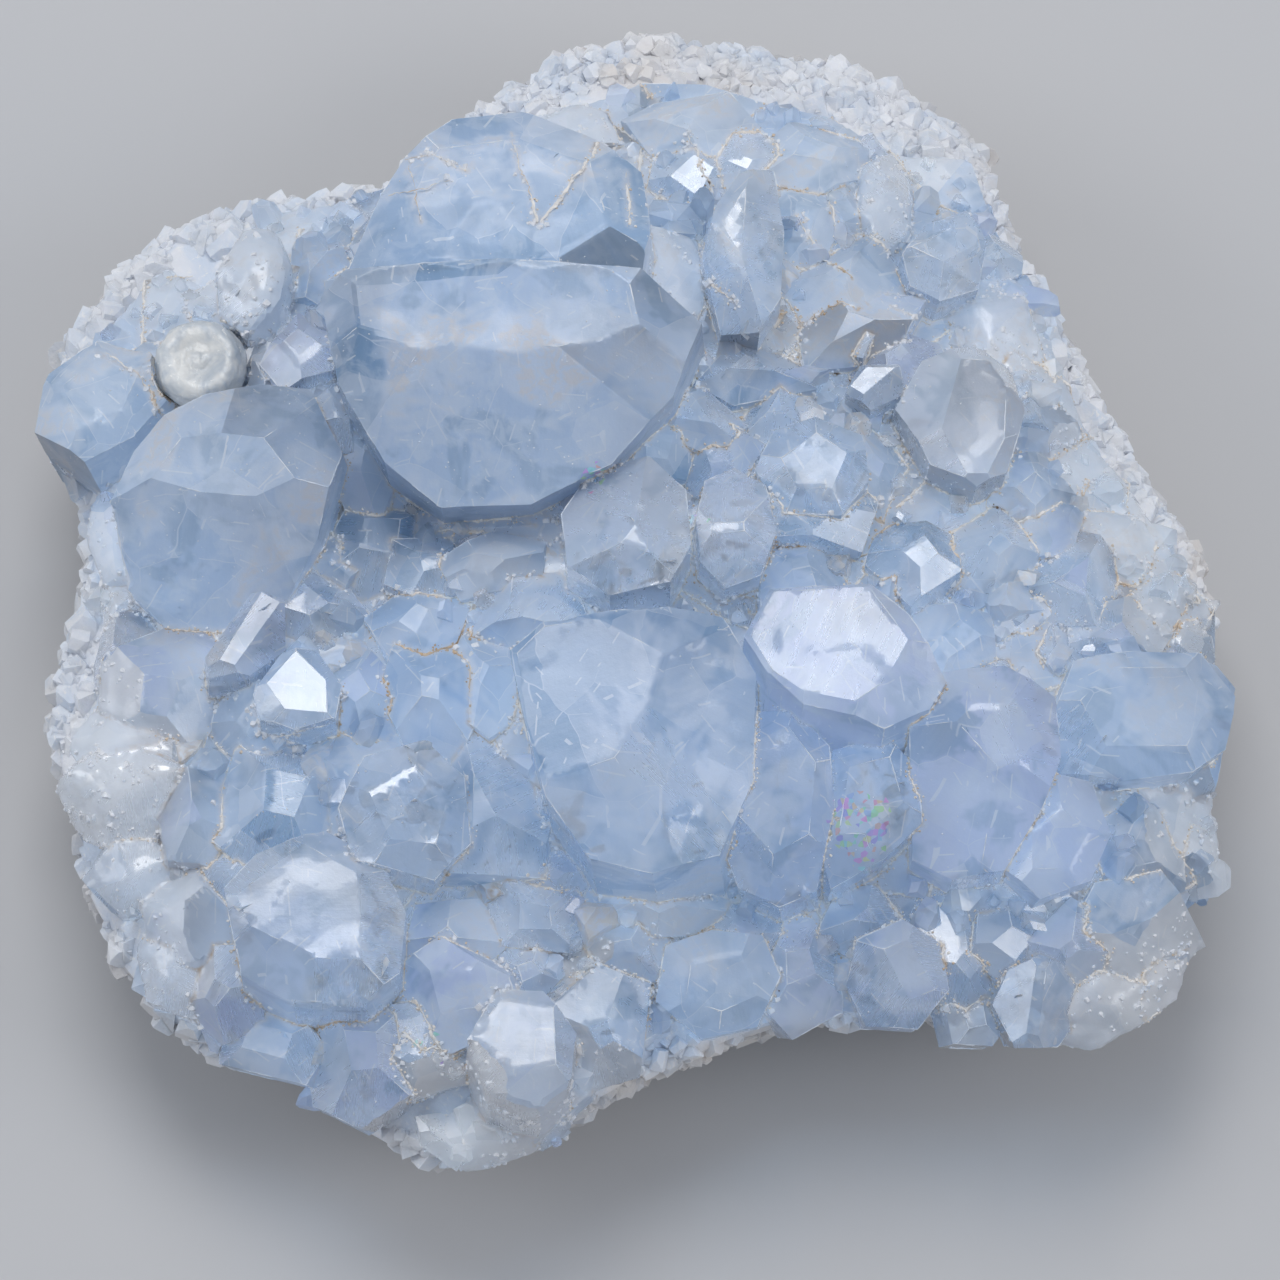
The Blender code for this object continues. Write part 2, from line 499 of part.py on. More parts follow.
def turned(points, degrees):
    turn = math.radians(degrees)
    cos, sin = math.cos(turn), math.sin(turn)
    return [(x * cos - y * sin, x * sin + y * cos) for x, y in points]


def facing(points, summit, axis):
    """Points seen on the layout, laid on the plane across the crystal's axis through its summit."""
    cos, sin = math.cos(SIGHT_ELEVATION), math.sin(SIGHT_ELEVATION)
    along = Vector((1.0, 0.0, 0.0))
    right = (along - axis * along.dot(axis)).normalized()
    back = axis.cross(right)
    laid = []
    for across, up in points:
        x = across - summit.x
        rise = up - (summit.y * sin + summit.z * cos)
        y = (rise + axis.x * x * cos / axis.z) / (sin - axis.y * cos / axis.z)
        step = Vector((x, y, -(axis.x * x + axis.y * y) / axis.z))
        laid.append((step.dot(right), step.dot(back)))
    return laid


def stand(shape, summit, axis):
    """Moves a crystal's top to its summit, and tips it onto its axis."""
    along = Vector((1.0, 0.0, 0.0))
    right = (along - axis * along.dot(axis)).normalized()
    frame = Matrix((right, axis.cross(right), axis)).transposed().to_4x4()
    shape.transform(Matrix.Translation(summit) @ frame)


def ordinary_rows(rng):
    """The smaller crystals in the form of the leading ones, with uneven outlines and tops."""
    rows = []
    for across, up, half_long, half_short, turn in CRUST_CRYSTALS:
        width = 0.5 * (half_long + half_short)
        base, share = ORDINARY_RISE
        rise = base + share * width + rng.uniform(-RISE_SCATTER, RISE_SCATTER)
        root = seen_point(across, up, rise)
        outward = root.xy / max(1.0, root.xy.length) * min(1.0, root.xy.length / EDGE_RADIUS)
        lean = [OUTWARD_LEAN * part + rng.uniform(-RANDOM_LEAN, RANDOM_LEAN) for part in outward]
        outline = ring(half_long * GROWTH, half_short * GROWTH, rng.choice((5, 6)), (0.0, 0.0), rng)
        flat = rng.uniform(*TOP_SHARE)
        shift = (rng.uniform(-TOP_SHIFT, TOP_SHIFT), rng.uniform(-TOP_SHIFT, TOP_SHIFT))
        top = ring(half_long * flat, half_short * flat, rng.choice((3, 4, 4)), shift, rng)
        place = [[(across + x, up + y) for x, y in turned(points, turn)] for points in (outline, top)]
        rows.append(((rise, *lean, rng.uniform(*ORDINARY_SLOPE)), *place))
    return rows


def add_crystals(collection):
    """Grows every crystal of the two tables, as helpers that the crust is joined from."""
    rng = random.Random(SEED)
    for number, (form, outline, top) in enumerate([*LEADING_CRYSTALS, *ordinary_rows(rng)]):
        rise, lean_right, lean_away, slope = form
        axis = Vector((lean_right, lean_away, 1.0)).normalized()
        across, up = (sum(values) / len(top) for values in zip(*top))
        summit = seen_point(across, up, rise)
        length = rise + root_depth(summit.x, summit.y)
        outline, top = (facing(points, summit, axis) for points in (outline, top))
        shape = crystal_shape(outline, top, slope, length, rng)
        stand(shape, summit, axis)
        hide(mesh_object(f"crystal_{number:03d}", shape, collection))


def nodule_shape(margin):
    """A rounded lump with a shallow dimple on its top, swollen by a margin all round."""
    shape = bmesh.new()
    bmesh.ops.create_icosphere(shape, subdivisions=3, radius=1.0)
    frequency, height = NODULE_UNEVENNESS
    for vert in shape.verts:
        direction = vert.co.normalized()
        bump = 1.0 + height * noise.noise(direction * frequency)
        vert.co = Vector(r * d * bump + margin * d for r, d in zip(NODULE_RADII, direction))
        if direction.z > 0.0:
            vert.co.z -= DIMPLE_DEPTH * math.exp(-(direction.xy.length / DIMPLE_RADIUS) ** 2)
    shape.transform(Matrix.Translation(seen_point(*NODULE_SEEN, NODULE_RISE - NODULE_RADII[2])))
    return shape


def boolean(target, operation, operand):
    """Adds a Boolean with one object or with a whole collection."""
    modifier = target.modifiers.new(operation.title(), "BOOLEAN")
    modifier.operation = operation
    modifier.solver = "EXACT"
    if isinstance(operand, bpy.types.Collection):
        modifier.operand_type = "COLLECTION"
        modifier.collection = operand
    else:
        modifier.object = operand


def drop_chips(thing):
    """Carries out the Booleans, and keeps the largest of the bodies that they leave."""
    view = bpy.context.evaluated_depsgraph_get()
    joined = bpy.data.meshes.new_from_object(thing.evaluated_get(view))
    shape = bmesh.new()
    shape.from_mesh(joined)
    waiting = set(shape.verts)
    bodies = []
    while waiting:
        body = {waiting.pop()}
        reached = list(body)
        while reached:
            for edge in reached.pop().link_edges:
                fresh = set(edge.verts) - body
                body |= fresh
                reached.extend(fresh)
        waiting -= body
        bodies.append(body)
    largest = max(bodies, key=len)
    chips = [vert for vert in shape.verts if vert not in largest]
    bmesh.ops.delete(shape, geom=chips, context="VERTS")
    shape.to_mesh(joined)
    shape.free()
    thing.modifiers.clear()
    thing.data = joined


def add_material(thing, name, colour, roughness, transmission):
    material = bpy.data.materials.new(name)
    material.use_nodes = True
    surface = material.node_tree.nodes["Principled BSDF"]
    surface.inputs["Base Color"].default_value = (*colour, 1.0)
    surface.inputs["Roughness"].default_value = roughness
    surface.inputs["Metallic"].default_value = 0.0
    surface.inputs["Transmission Weight"].default_value = transmission
    material.diffuse_color = (*colour, 1.0)
    thing.data.materials.append(material)


def build():
    clear_scene()
    cluster = new_collection("celestite_cluster")
    helpers = new_collection("helpers")
    crystals = new_collection("crystals_to_join")

    rind = mesh_object("matrix_rind", rind_mesh(), cluster)
    rind_space = hide(mesh_object("rind_space", swell_mesh(rind_mesh(), lambda point: GAP), helpers))

    add_crystals(crystals)
    crust = mesh_object("celestite_crust", swell_mesh(rind_mesh(), bed_distance), cluster)
    boolean(crust, "UNION", crystals)
    boolean(crust, "DIFFERENCE", rind_space)

    nodule = mesh_object("calcite_nodule", nodule_shape(0.0), cluster)
    boolean(crust, "DIFFERENCE", hide(mesh_object("nodule_space", nodule_shape(GAP), helpers)))

    drop_chips(crust)

    add_material(rind, "pale_rind", (0.78, 0.78, 0.80), 0.75, 0.0)
    add_material(crust, "blue_celestite", (0.48, 0.62, 0.78), 0.15, 0.5)
    add_material(nodule, "cream_calcite", (0.76, 0.76, 0.74), 0.45, 0.1)


build()
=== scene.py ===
# %% [markdown]
# # A cluster of celestite crystals
#
# Celestite lines the wall of a hollow in the rock with pale blue crystals. A collector breaks out a piece of
# that lining, so the cluster has a white, sugary rind behind and a crust of grown-together crystals in front.
# This lesson dresses three plain solids: the rind, the crust and one small calcite nodule. The solids give
# the places and the main faces, and each step below adds what the eye sees from closer by.

# %% Load the plain solids
import math
import random

import bmesh
import bpy
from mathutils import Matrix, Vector, noise
from mathutils.bvhtree import BVHTree
from mathutils.kdtree import KDTree


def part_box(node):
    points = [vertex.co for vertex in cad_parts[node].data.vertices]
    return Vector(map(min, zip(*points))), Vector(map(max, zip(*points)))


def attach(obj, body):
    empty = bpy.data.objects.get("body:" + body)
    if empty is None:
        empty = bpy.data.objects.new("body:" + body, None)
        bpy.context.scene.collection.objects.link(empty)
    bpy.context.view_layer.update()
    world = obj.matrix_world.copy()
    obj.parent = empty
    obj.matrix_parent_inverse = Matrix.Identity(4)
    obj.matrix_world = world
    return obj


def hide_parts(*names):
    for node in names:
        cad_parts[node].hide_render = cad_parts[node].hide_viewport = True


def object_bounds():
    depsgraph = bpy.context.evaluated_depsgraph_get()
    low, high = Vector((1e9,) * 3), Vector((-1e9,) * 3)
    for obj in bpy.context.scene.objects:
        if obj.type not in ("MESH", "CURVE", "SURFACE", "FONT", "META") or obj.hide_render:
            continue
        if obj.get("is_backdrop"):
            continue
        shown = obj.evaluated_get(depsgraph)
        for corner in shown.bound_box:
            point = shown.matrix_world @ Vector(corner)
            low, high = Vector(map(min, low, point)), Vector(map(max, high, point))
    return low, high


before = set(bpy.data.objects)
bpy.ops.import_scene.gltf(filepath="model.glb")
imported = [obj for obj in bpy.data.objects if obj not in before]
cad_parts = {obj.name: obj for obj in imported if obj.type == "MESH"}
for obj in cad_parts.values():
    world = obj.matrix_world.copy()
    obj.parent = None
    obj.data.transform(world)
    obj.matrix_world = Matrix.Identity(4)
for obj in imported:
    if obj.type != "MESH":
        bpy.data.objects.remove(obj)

cad_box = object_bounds()
MM = 0.001
print("solids:", sorted(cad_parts))

# %% [markdown]
# ## The camera
#
# The picture was taken from steeply above, at 70 degrees over the horizon, with a long lens. A long lens keeps
# the crystals at the edge of the picture the same size as those in the middle. The focal length follows from
# the distance and from how much of the table the picture is wide.

# %% Camera
SIGHT_ELEVATION = math.radians(70.0)
CAMERA_DISTANCE = 0.75
PICTURE_WIDTH = 104.9 * MM
SENSOR_WIDTH = 36.0
AIM = Vector((0.0, -4.3, 22.0)) * MM

towards_camera = Vector((0.0, -math.cos(SIGHT_ELEVATION), math.sin(SIGHT_ELEVATION)))
camera = bpy.data.objects.new("camera", bpy.data.cameras.new("camera"))
bpy.context.scene.collection.objects.link(camera)
camera.location = AIM + towards_camera * CAMERA_DISTANCE
camera.rotation_euler = (-towards_camera).to_track_quat("-Z", "Y").to_euler()
camera.data.sensor_width = SENSOR_WIDTH
camera.data.lens = SENSOR_WIDTH * CAMERA_DISTANCE / PICTURE_WIDTH
camera.data.clip_start = 0.05
bpy.context.scene.camera = camera
print("focal length", round(camera.data.lens), "mm")

# %% [markdown]
# ## A table and soft studio light
#
# Glassy faces show what is around them, so the lights are large and soft. The biggest one hangs behind the
# cluster, where faces that look straight up mirror it into the camera, and the others fill in from the sides.

# %% Table, lights and surroundings
TABLE_SIZE = 1.6


def material_with(name):
    """A new material and its Principled surface."""
    made = bpy.data.materials.new(name)
    made.use_nodes = True
    return made, made.node_tree.nodes["Principled BSDF"]


def add_object(name, mesh):
    made = bpy.data.objects.new(name, mesh)
    bpy.context.scene.collection.objects.link(made)
    return made


table_shape = bmesh.new()
bmesh.ops.create_grid(table_shape, x_segments=1, y_segments=1, size=TABLE_SIZE / 2)
table_mesh = bpy.data.meshes.new("table")
table_shape.to_mesh(table_mesh)
table_material, table_surface = material_with("table_paint")
table_surface.inputs["Base Color"].default_value = (0.60, 0.60, 0.61, 1.0)
table_surface.inputs["Roughness"].default_value = 0.8
table_mesh.materials.append(table_material)
add_object("table", table_mesh)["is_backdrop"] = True


def softbox(name, place, size, power, colour):
    """A square area light that looks at the cluster."""
    lamp = bpy.data.lights.new(name, "AREA")
    lamp.size = size
    lamp.energy = power
    lamp.color = colour
    box = add_object(name, lamp)
    box.location = place
    box.rotation_euler = (Vector(place) - AIM).to_track_quat("Z", "Y").to_euler()


softbox("softbox_behind", (-0.06, 0.38, 0.80), 0.42, 2.75, (1.0, 0.99, 0.98))
softbox("softbox_left", (-0.80, 0.10, 0.50), 0.50, 1.65, (0.97, 0.98, 1.0))
softbox("softbox_right", (0.75, -0.20, 0.60), 0.45, 1.75, (1.0, 0.98, 0.97))

world = bpy.data.worlds.new("room")
bpy.context.scene.world = world
world.use_nodes = True
world.node_tree.nodes["Background"].inputs["Color"].default_value = (0.82, 0.89, 1.0, 1.0)
world.node_tree.nodes["Background"].inputs["Strength"].default_value = 0.385
bpy.context.scene.view_settings.view_transform = "Standard"
for kind, bounces in (("max", 8), ("transmission", 8), ("glossy", 3), ("diffuse", 3), ("transparent_max", 6)):
    setattr(bpy.context.scene.cycles, f"{kind}_bounces", bounces)
print("three softboxes and a pale room")

# %% [markdown]
# ## Short ways to build node trees
#
# Materials and scatterings below are all node trees, so one helper adds a node, sets its options and fills
# its inputs, and a few more wrap the nodes that come back often.

# %% Node helpers


def add_node(tree, kind, inputs=None, **options):
    """A new node whose inputs are linked from sockets or set to values."""
    node = tree.nodes.new(kind)
    for option, value in options.items():
        setattr(node, option, value)
    for key, value in (inputs or {}).items():
        if isinstance(value, bpy.types.NodeSocket):
            tree.links.new(value, node.inputs[key])
        else:
            node.inputs[key].default_value = value
    return node


def attribute(tree, name):
    return add_node(tree, "ShaderNodeAttribute", attribute_name=name).outputs["Fac"]


def ramp(tree, value, *stops):
    """A colour ramp; each stop is a place and a colour, or a place and a grey."""
    node = add_node(tree, "ShaderNodeValToRGB", {"Fac": value})
    elements = node.color_ramp.elements
    while len(elements) < len(stops):
        elements.new(1.0)
    for element, (place, colour) in zip(elements, stops):
        element.position = place
        element.color = (*colour, 1.0) if isinstance(colour, tuple) else (colour, colour, colour, 1.0)
    return node.outputs["Color"]


def blend(tree, share, first, second):
    """Mixes two colours, given as sockets or plain values."""
    colours = [(*c, 1.0) if isinstance(c, tuple) else c for c in (first, second)]
    node = add_node(tree, "ShaderNodeMix", {"Factor": share, 6: colours[0], 7: colours[1]}, data_type="RGBA")
    return node.outputs[2]


def math_node(tree, operation, first, second=0.0, clamp=False):
    return add_node(tree, "ShaderNodeMath", {0: first, 1: second}, operation=operation,
                    use_clamp=clamp).outputs[0]


def group_inputs(tree, **sockets):
    """Adds named inputs to a group; each gives its socket type and default value."""
    for name, (kind, value) in sockets.items():
        socket = tree.interface.new_socket(name.replace("_", " "), in_out="INPUT", socket_type=kind)
        if value is not None:
            socket.default_value = value
    return tree.nodes.new("NodeGroupInput").outputs


def place_group(tree, group, **values):
    inputs = {name.replace("_", " "): value for name, value in values.items()}
    node = tree.nodes.new("ShaderNodeGroup")
    node.node_tree = group
    for name, value in inputs.items():
        if isinstance(value, bpy.types.NodeSocket):
            tree.links.new(value, node.inputs[name])
        else:
            node.inputs[name].default_value = value
    return node.outputs[0]


print("node helpers ready")

# %% [markdown]
# Four effects are shared by the minerals. Milky clouds are soft-edged patches at one scale broken by a finer
# one. Weathering is the fine unevenness of a broken or etched surface, which only tilts the normal. Inner
# planes are the blocks and healed cracks inside a crystal, which show as straight-sided patches, each a little paler or darker than the next. Cleavage
# is the bursts of thin parallel cracks that celestite splits along, and each block has its own direction.

# %% Shared effects
milky_clouds = bpy.data.node_groups.new("milky_clouds", "ShaderNodeTree")
given = group_inputs(milky_clouds, Scale=("NodeSocketFloat", 150.0), Least=("NodeSocketFloat", 0.4),
                     Most=("NodeSocketFloat", 0.7))
milky_clouds.interface.new_socket("Mask", in_out="OUTPUT", socket_type="NodeSocketFloat")
where = add_node(milky_clouds, "ShaderNodeTexCoord").outputs["Object"]
cloud = add_node(milky_clouds, "ShaderNodeTexNoise",
                 {"Vector": where, "Scale": given["Scale"], "Detail": 3.0, "Roughness": 0.65, "Distortion": 0.6})
mask = add_node(milky_clouds, "ShaderNodeMapRange",
                {"Value": cloud.outputs["Fac"], "From Min": given["Least"], "From Max": given["Most"]},
                interpolation_type="SMOOTHSTEP")
add_node(milky_clouds, "NodeGroupOutput", {"Mask": mask.outputs["Result"]})

weathering = bpy.data.node_groups.new("weathering", "ShaderNodeTree")
given = group_inputs(weathering, Scale=("NodeSocketFloat", 2500.0), Depth=("NodeSocketFloat", 0.00004),
                     Amount=("NodeSocketFloat", 0.5))
weathering.interface.new_socket("Normal", in_out="OUTPUT", socket_type="NodeSocketVector")
where = add_node(weathering, "ShaderNodeTexCoord").outputs["Object"]
pits = add_node(weathering, "ShaderNodeTexNoise",
                {"Vector": where, "Scale": given["Scale"], "Detail": 3.0, "Roughness": 0.7})
uneven = add_node(weathering, "ShaderNodeBump",
                  {"Height": pits.outputs["Fac"], "Distance": given["Depth"], "Strength": given["Amount"]})
add_node(weathering, "NodeGroupOutput", {"Normal": uneven.outputs["Normal"]})

inner_planes = bpy.data.node_groups.new("inner_planes", "ShaderNodeTree")
given = group_inputs(inner_planes, Scale=("NodeSocketFloat", 180.0), Line=("NodeSocketFloat", 0.02))
inner_planes.interface.new_socket("Mask", in_out="OUTPUT", socket_type="NodeSocketFloat")
where = add_node(inner_planes, "ShaderNodeTexCoord").outputs["Object"]
bend = add_node(inner_planes, "ShaderNodeTexNoise", {"Vector": where, "Scale": 260.0, "Detail": 2.0})
bent = add_node(inner_planes, "ShaderNodeVectorMath",
                {0: bend.outputs["Color"], 1: (0.0012, 0.0012, 0.0012), 2: where}, operation="MULTIPLY_ADD")
blocks = add_node(inner_planes, "ShaderNodeTexVoronoi", {"Vector": bent.outputs["Vector"], "Scale": given["Scale"]})
shade = add_node(inner_planes, "ShaderNodeSeparateColor", {"Color": blocks.outputs["Color"]}).outputs[0]
walls = add_node(inner_planes, "ShaderNodeTexVoronoi",
                 {"Vector": bent.outputs["Vector"], "Scale": given["Scale"]}, feature="DISTANCE_TO_EDGE")
line = add_node(inner_planes, "ShaderNodeMapRange",
                {"Value": walls.outputs["Distance"], "From Min": given["Line"], "From Max": 0.0})
veil = math_node(inner_planes, "MULTIPLY", line.outputs["Result"],
                 math_node(inner_planes, "GREATER_THAN", bend.outputs["Fac"], 0.5))
tint = math_node(inner_planes, "MULTIPLY", math_node(inner_planes, "POWER", shade, 2.0), 0.6)
add_node(inner_planes, "NodeGroupOutput", {"Mask": math_node(inner_planes, "MAXIMUM", veil, tint)})

cleavage = bpy.data.node_groups.new("cleavage", "ShaderNodeTree")
given = group_inputs(cleavage, Scale=("NodeSocketFloat", 200.0), Spacing=("NodeSocketFloat", 0.0009),
                     Width=("NodeSocketFloat", 0.00005), Rarity=("NodeSocketFloat", 0.55))
cleavage.interface.new_socket("Mask", in_out="OUTPUT", socket_type="NodeSocketFloat")
where = add_node(cleavage, "ShaderNodeTexCoord").outputs["Object"]
blocks = add_node(cleavage, "ShaderNodeTexVoronoi", {"Vector": where, "Scale": given["Scale"]})
way = add_node(cleavage, "ShaderNodeVectorMath", {0: blocks.outputs["Color"], 1: (0.5, 0.5, 0.5)},
               operation="SUBTRACT")
way = add_node(cleavage, "ShaderNodeVectorMath", {0: way.outputs["Vector"]}, operation="NORMALIZE")
along = add_node(cleavage, "ShaderNodeVectorMath", {0: where, 1: way.outputs["Vector"]}, operation="DOT_PRODUCT")
near_plane = math_node(cleavage, "LESS_THAN", math_node(cleavage, "PINGPONG", along.outputs["Value"],
                                                        given["Spacing"]), given["Width"])
rough_patch = add_node(cleavage, "ShaderNodeTexNoise", {"Vector": where, "Scale": 420.0, "Detail": 2.0})
present = math_node(cleavage, "GREATER_THAN", rough_patch.outputs["Fac"], given["Rarity"])
add_node(cleavage, "NodeGroupOutput", {"Mask": math_node(cleavage, "MULTIPLY", near_plane, present)})
print("shared effects:", milky_clouds.name, weathering.name, inner_planes.name, cleavage.name)

# %% [markdown]
# ## Reading the crust's crystals
#
# The solid is a shell of loose triangles. To dress each crystal in its own way, the script first has to know
# where one ends and the next begins. The triangles are welded and flat neighbours joined, so that each
# crystal face is one polygon. Every crystal bulges outwards, so two faces that meet in a valley belong to two
# crystals. Flooding across all other edges numbers the crystals.

# %% Welded copies
WELD = 0.001 * MM
FLAT = math.radians(0.6)


def welded_copy(node):
    """A solid's mesh with its loose triangles welded."""
    shape = bmesh.new()
    shape.from_mesh(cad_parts[node].data)
    bmesh.ops.remove_doubles(shape, verts=shape.verts, dist=WELD)
    return shape


def smooth(low, high, value):
    """0 below low, 1 above high, and a soft rise between them."""
    share = min(1.0, max(0.0, (value - low) / (high - low)))
    return share * share * (3.0 - 2.0 * share)


rind = welded_copy("matrix_rind")
rind_tree = BVHTree.FromBMesh(rind)
crust = welded_copy("celestite_crust")
bmesh.ops.dissolve_limit(crust, angle_limit=FLAT, verts=crust.verts, edges=crust.edges)
crust.normal_update()
crust_tree = BVHTree.FromBMesh(crust)
print("crust:", len(crust.faces), "flat faces")

# %% Places in the picture
right = Vector((1.0, 0.0, 0.0))
up_in_picture = Vector((0.0, math.sin(SIGHT_ELEVATION), math.cos(SIGHT_ELEVATION)))


def in_picture(point):
    """Where the camera sees a point, right and up from the picture's middle in millimetres."""
    return point.dot(right) / MM, point.dot(up_in_picture) / MM


def seen_at(across, up):
    """The point, normal and face number of the crust that the camera sees at a place in the picture."""
    start = right * across * MM + up_in_picture * up * MM + towards_camera * 0.2
    return crust_tree.ray_cast(start, -towards_camera)[:3]


# Healed cracks across faces, as places in the picture
HEALED_CRACKS = (
    ((-18.9, 42.6), (-18.6, 40.9), (-17.9, 37.8)), ((-10.6, 45.2), (-10.0, 42.9), (-9.0, 40.2), (-8.3, 37.4)),
    ((-3.2, 44.6), (-4.6, 42.0), (-6.4, 39.8), (-8.0, 37.6)), ((-19.6, 42.8), (-17.0, 43.0), (-14.2, 41.6)),
    ((-20.5, 39.6), (-17.8, 40.4), (-15.6, 40.9)), ((-1.0, 41.5), (-0.9, 37.4)), ((4.0, 45.5), (6.2, 40.5)),
    ((-44.0, 27.2), (-41.0, 25.0), (-39.4, 22.0)), ((13.0, 38.6), (15.0, 35.0), (17.5, 33.5)),
    ((20.5, 31.0), (24.0, 29.6)), ((-29.4, -4.4), (-25.0, -3.2)), ((5.5, 33.0), (8.0, 30.8)),
)

# %% Faces, crystals and valleys
GAP_TO_RIND = 0.62 * MM
BED_HEIGHT = 3.4 * MM
VALLEY = math.radians(-5.0)
VALLEY_SPACING = 0.4 * MM

hidden_layer = crust.faces.layers.int.new("hidden")
facet_layer = crust.faces.layers.int.new("facet")


def is_valley(edge):
    return len(edge.link_faces) == 2 and edge.calc_face_angle_signed(0.0) < VALLEY


class Facet:
    """What later steps need to know about one flat face of the solid."""

    def __init__(self, face):
        self.normal = face.normal.copy()
        self.area = face.calc_area() / MM**2
        self.middle = face.calc_center_median()
        _, outward, _, distance = rind_tree.find_nearest(self.middle)
        facing = face.normal.dot(outward)
        self.hidden = distance < GAP_TO_RIND and facing < -0.3
        self.is_bed = not self.hidden and distance < BED_HEIGHT and facing > 0.55
        self.crystal = -1


facets = []
for number, face in enumerate(crust.faces):
    facets.append(Facet(face))
    face[facet_layer] = number
    face[hidden_layer] = facets[number].hidden

crystal_count = 0
for first in crust.faces:
    if facets[first[facet_layer]].crystal >= 0 or first[hidden_layer]:
        continue
    facets[first[facet_layer]].crystal = crystal_count
    reached = [first]
    while reached:
        for edge in reached.pop().edges:
            if is_valley(edge):
                continue
            for other in edge.link_faces:
                facet = facets[other[facet_layer]]
                if facet.crystal < 0 and not facet.hidden:
                    facet.crystal = crystal_count
                    reached.append(other)
    crystal_count += 1

valley_points = []
valley_edges = [[vert.co.copy() for vert in edge.verts] for edge in crust.edges
                if is_valley(edge) and not any(face[hidden_layer] for face in edge.link_faces)]
for start, end in valley_edges:
    steps = max(1, round((end - start).length / VALLEY_SPACING))
    valley_points.extend(start.lerp(end, step / steps) for step in range(steps + 1))
crack_lines = []
for crack in HEALED_CRACKS:
    for (x0, y0), (x1, y1) in zip(crack, crack[1:]):
        steps = max(1, round(math.hypot(x1 - x0, y1 - y0) * MM / VALLEY_SPACING))
        found = [seen_at(x0 + (x1 - x0) * step / steps, y0 + (y1 - y0) * step / steps)[0] for step in range(steps + 1)]
        bends = [noise.noise_vector(point / (1.5 * MM)) * 0.35 * MM for point in found if point]
        crack_lines.append([crust_tree.find_nearest(point + bend)[0]
                            for point, bend in zip((point for point in found if point), bends)])
        valley_points.extend(crack_lines[-1])
valleys = KDTree(len(valley_points))
for number, point in enumerate(valley_points):
    valleys.insert(point, number)
valleys.balance()
print(crystal_count, "crystals,", len(valley_points), "points along their valleys")

# %% [markdown]
# ## What each crystal looks like
#
# No two crystals in the picture have quite the same blue. The big ones are a cool greenish blue, some lean
# to violet, and those along the left and upper edge are milky. Those deep between others get a dark tone,
# which is painted shade: it stands in for the light that the crystals around them keep out. A short list
# says which look belongs where. Its places are measured in the picture, in millimetres from its middle,
# and a ray from the camera finds the crystal that stands there. All other crystals draw their look by lot.

# %% Looks
# A tone near 0 gives the darkest blue; on crystals that sit deep between others it is painted shade.
#   (right, up)     tone  milk  gloss
CRYSTAL_LOOKS = (
    ((-11.5, 24.4), 0.50, 0.12, 0.25),
    ((-13.0, 40.0), 0.15, 0.06, 0.15),
    ((-34.0, 13.0), 0.45, 0.15, 0.20),
    ((-34.0, 22.0), 0.50, 0.20, 0.30),
    ((-45.0, 24.0), 0.20, 0.10, 0.25),
    ((-32.5, 34.5), 0.55, 0.60, 0.45),
    ((-4.0, -1.0), 0.00, 0.00, 0.30),
    ((3.0, -10.0), 0.15, 0.08, 0.45),
    ((16.4, 2.7), 0.80, 0.25, 0.40),
    ((10.2, -9.6), 0.60, 0.00, 0.95),
    ((17.6, -10.8), 0.55, 0.05, 0.90),
    ((27.5, -6.7), 0.85, 0.05, 0.50),
    ((33.2, -12.5), 0.70, 0.15, 0.40),
    ((41.0, -2.6), 0.40, 0.15, 0.50),
    ((26.6, 22.4), 1.00, 0.35, 0.55),
    ((-1.2, 13.4), 1.00, 0.15, 0.70),
    ((7.6, 13.5), 0.95, 0.12, 0.70),
    ((13.5, 11.3), 0.45, 0.05, 0.80),
    ((14.1, 17.9), 0.50, 0.10, 0.55),
    ((10.2, 26.5), 0.30, 0.05, 0.60),
    ((8.4, 35.9), 0.55, 0.15, 0.60),
    ((1.6, 34.7), 0.60, 0.70, 0.35),
    ((19.1, 24.4), 0.55, 0.10, 0.90),
    ((24.6, 36.3), 0.45, 0.15, 0.80),
    ((20.7, 42.5), 0.60, 0.80, 0.70),
    ((31.3, 27.7), 0.60, 0.70, 0.30),
    ((39.3, 14.2), 0.60, 0.65, 0.30),
    ((31.1, 8.9), 0.25, 0.00, 0.45),
    ((26.6, -20.7), 0.20, 0.00, 0.60),
    ((22.5, -19.8), 0.60, 0.10, 0.80),
    ((32.4, -26.4), 0.50, 0.00, 0.90),
    ((46.3, -12.0), 0.60, 0.70, 0.30),
    ((40.2, -24.8), 0.60, 0.75, 0.30),
    ((-26.6, -18.6), 0.60, 0.20, 0.55),
    ((-19.3, -11.2), 0.50, 0.10, 0.90),
    ((-13.0, -6.7), 0.05, 0.00, 0.50),
    ((-32.4, -13.0), 0.10, 0.00, 0.50),
    ((-9.4, -29.7), 0.65, 0.30, 0.55),
    ((-4.1, -21.9), 0.60, 0.55, 0.35),
    ((-17.0, -29.3), 0.70, 0.30, 0.80),
    ((-26.6, 32.8), 0.05, 0.00, 0.40),
    ((-24.6, 30.0), 0.00, 0.00, 0.40),
    ((-16.4, 12.6), 0.05, 0.00, 0.50),
    ((-22.0, 8.0), 0.10, 0.05, 0.50),
)
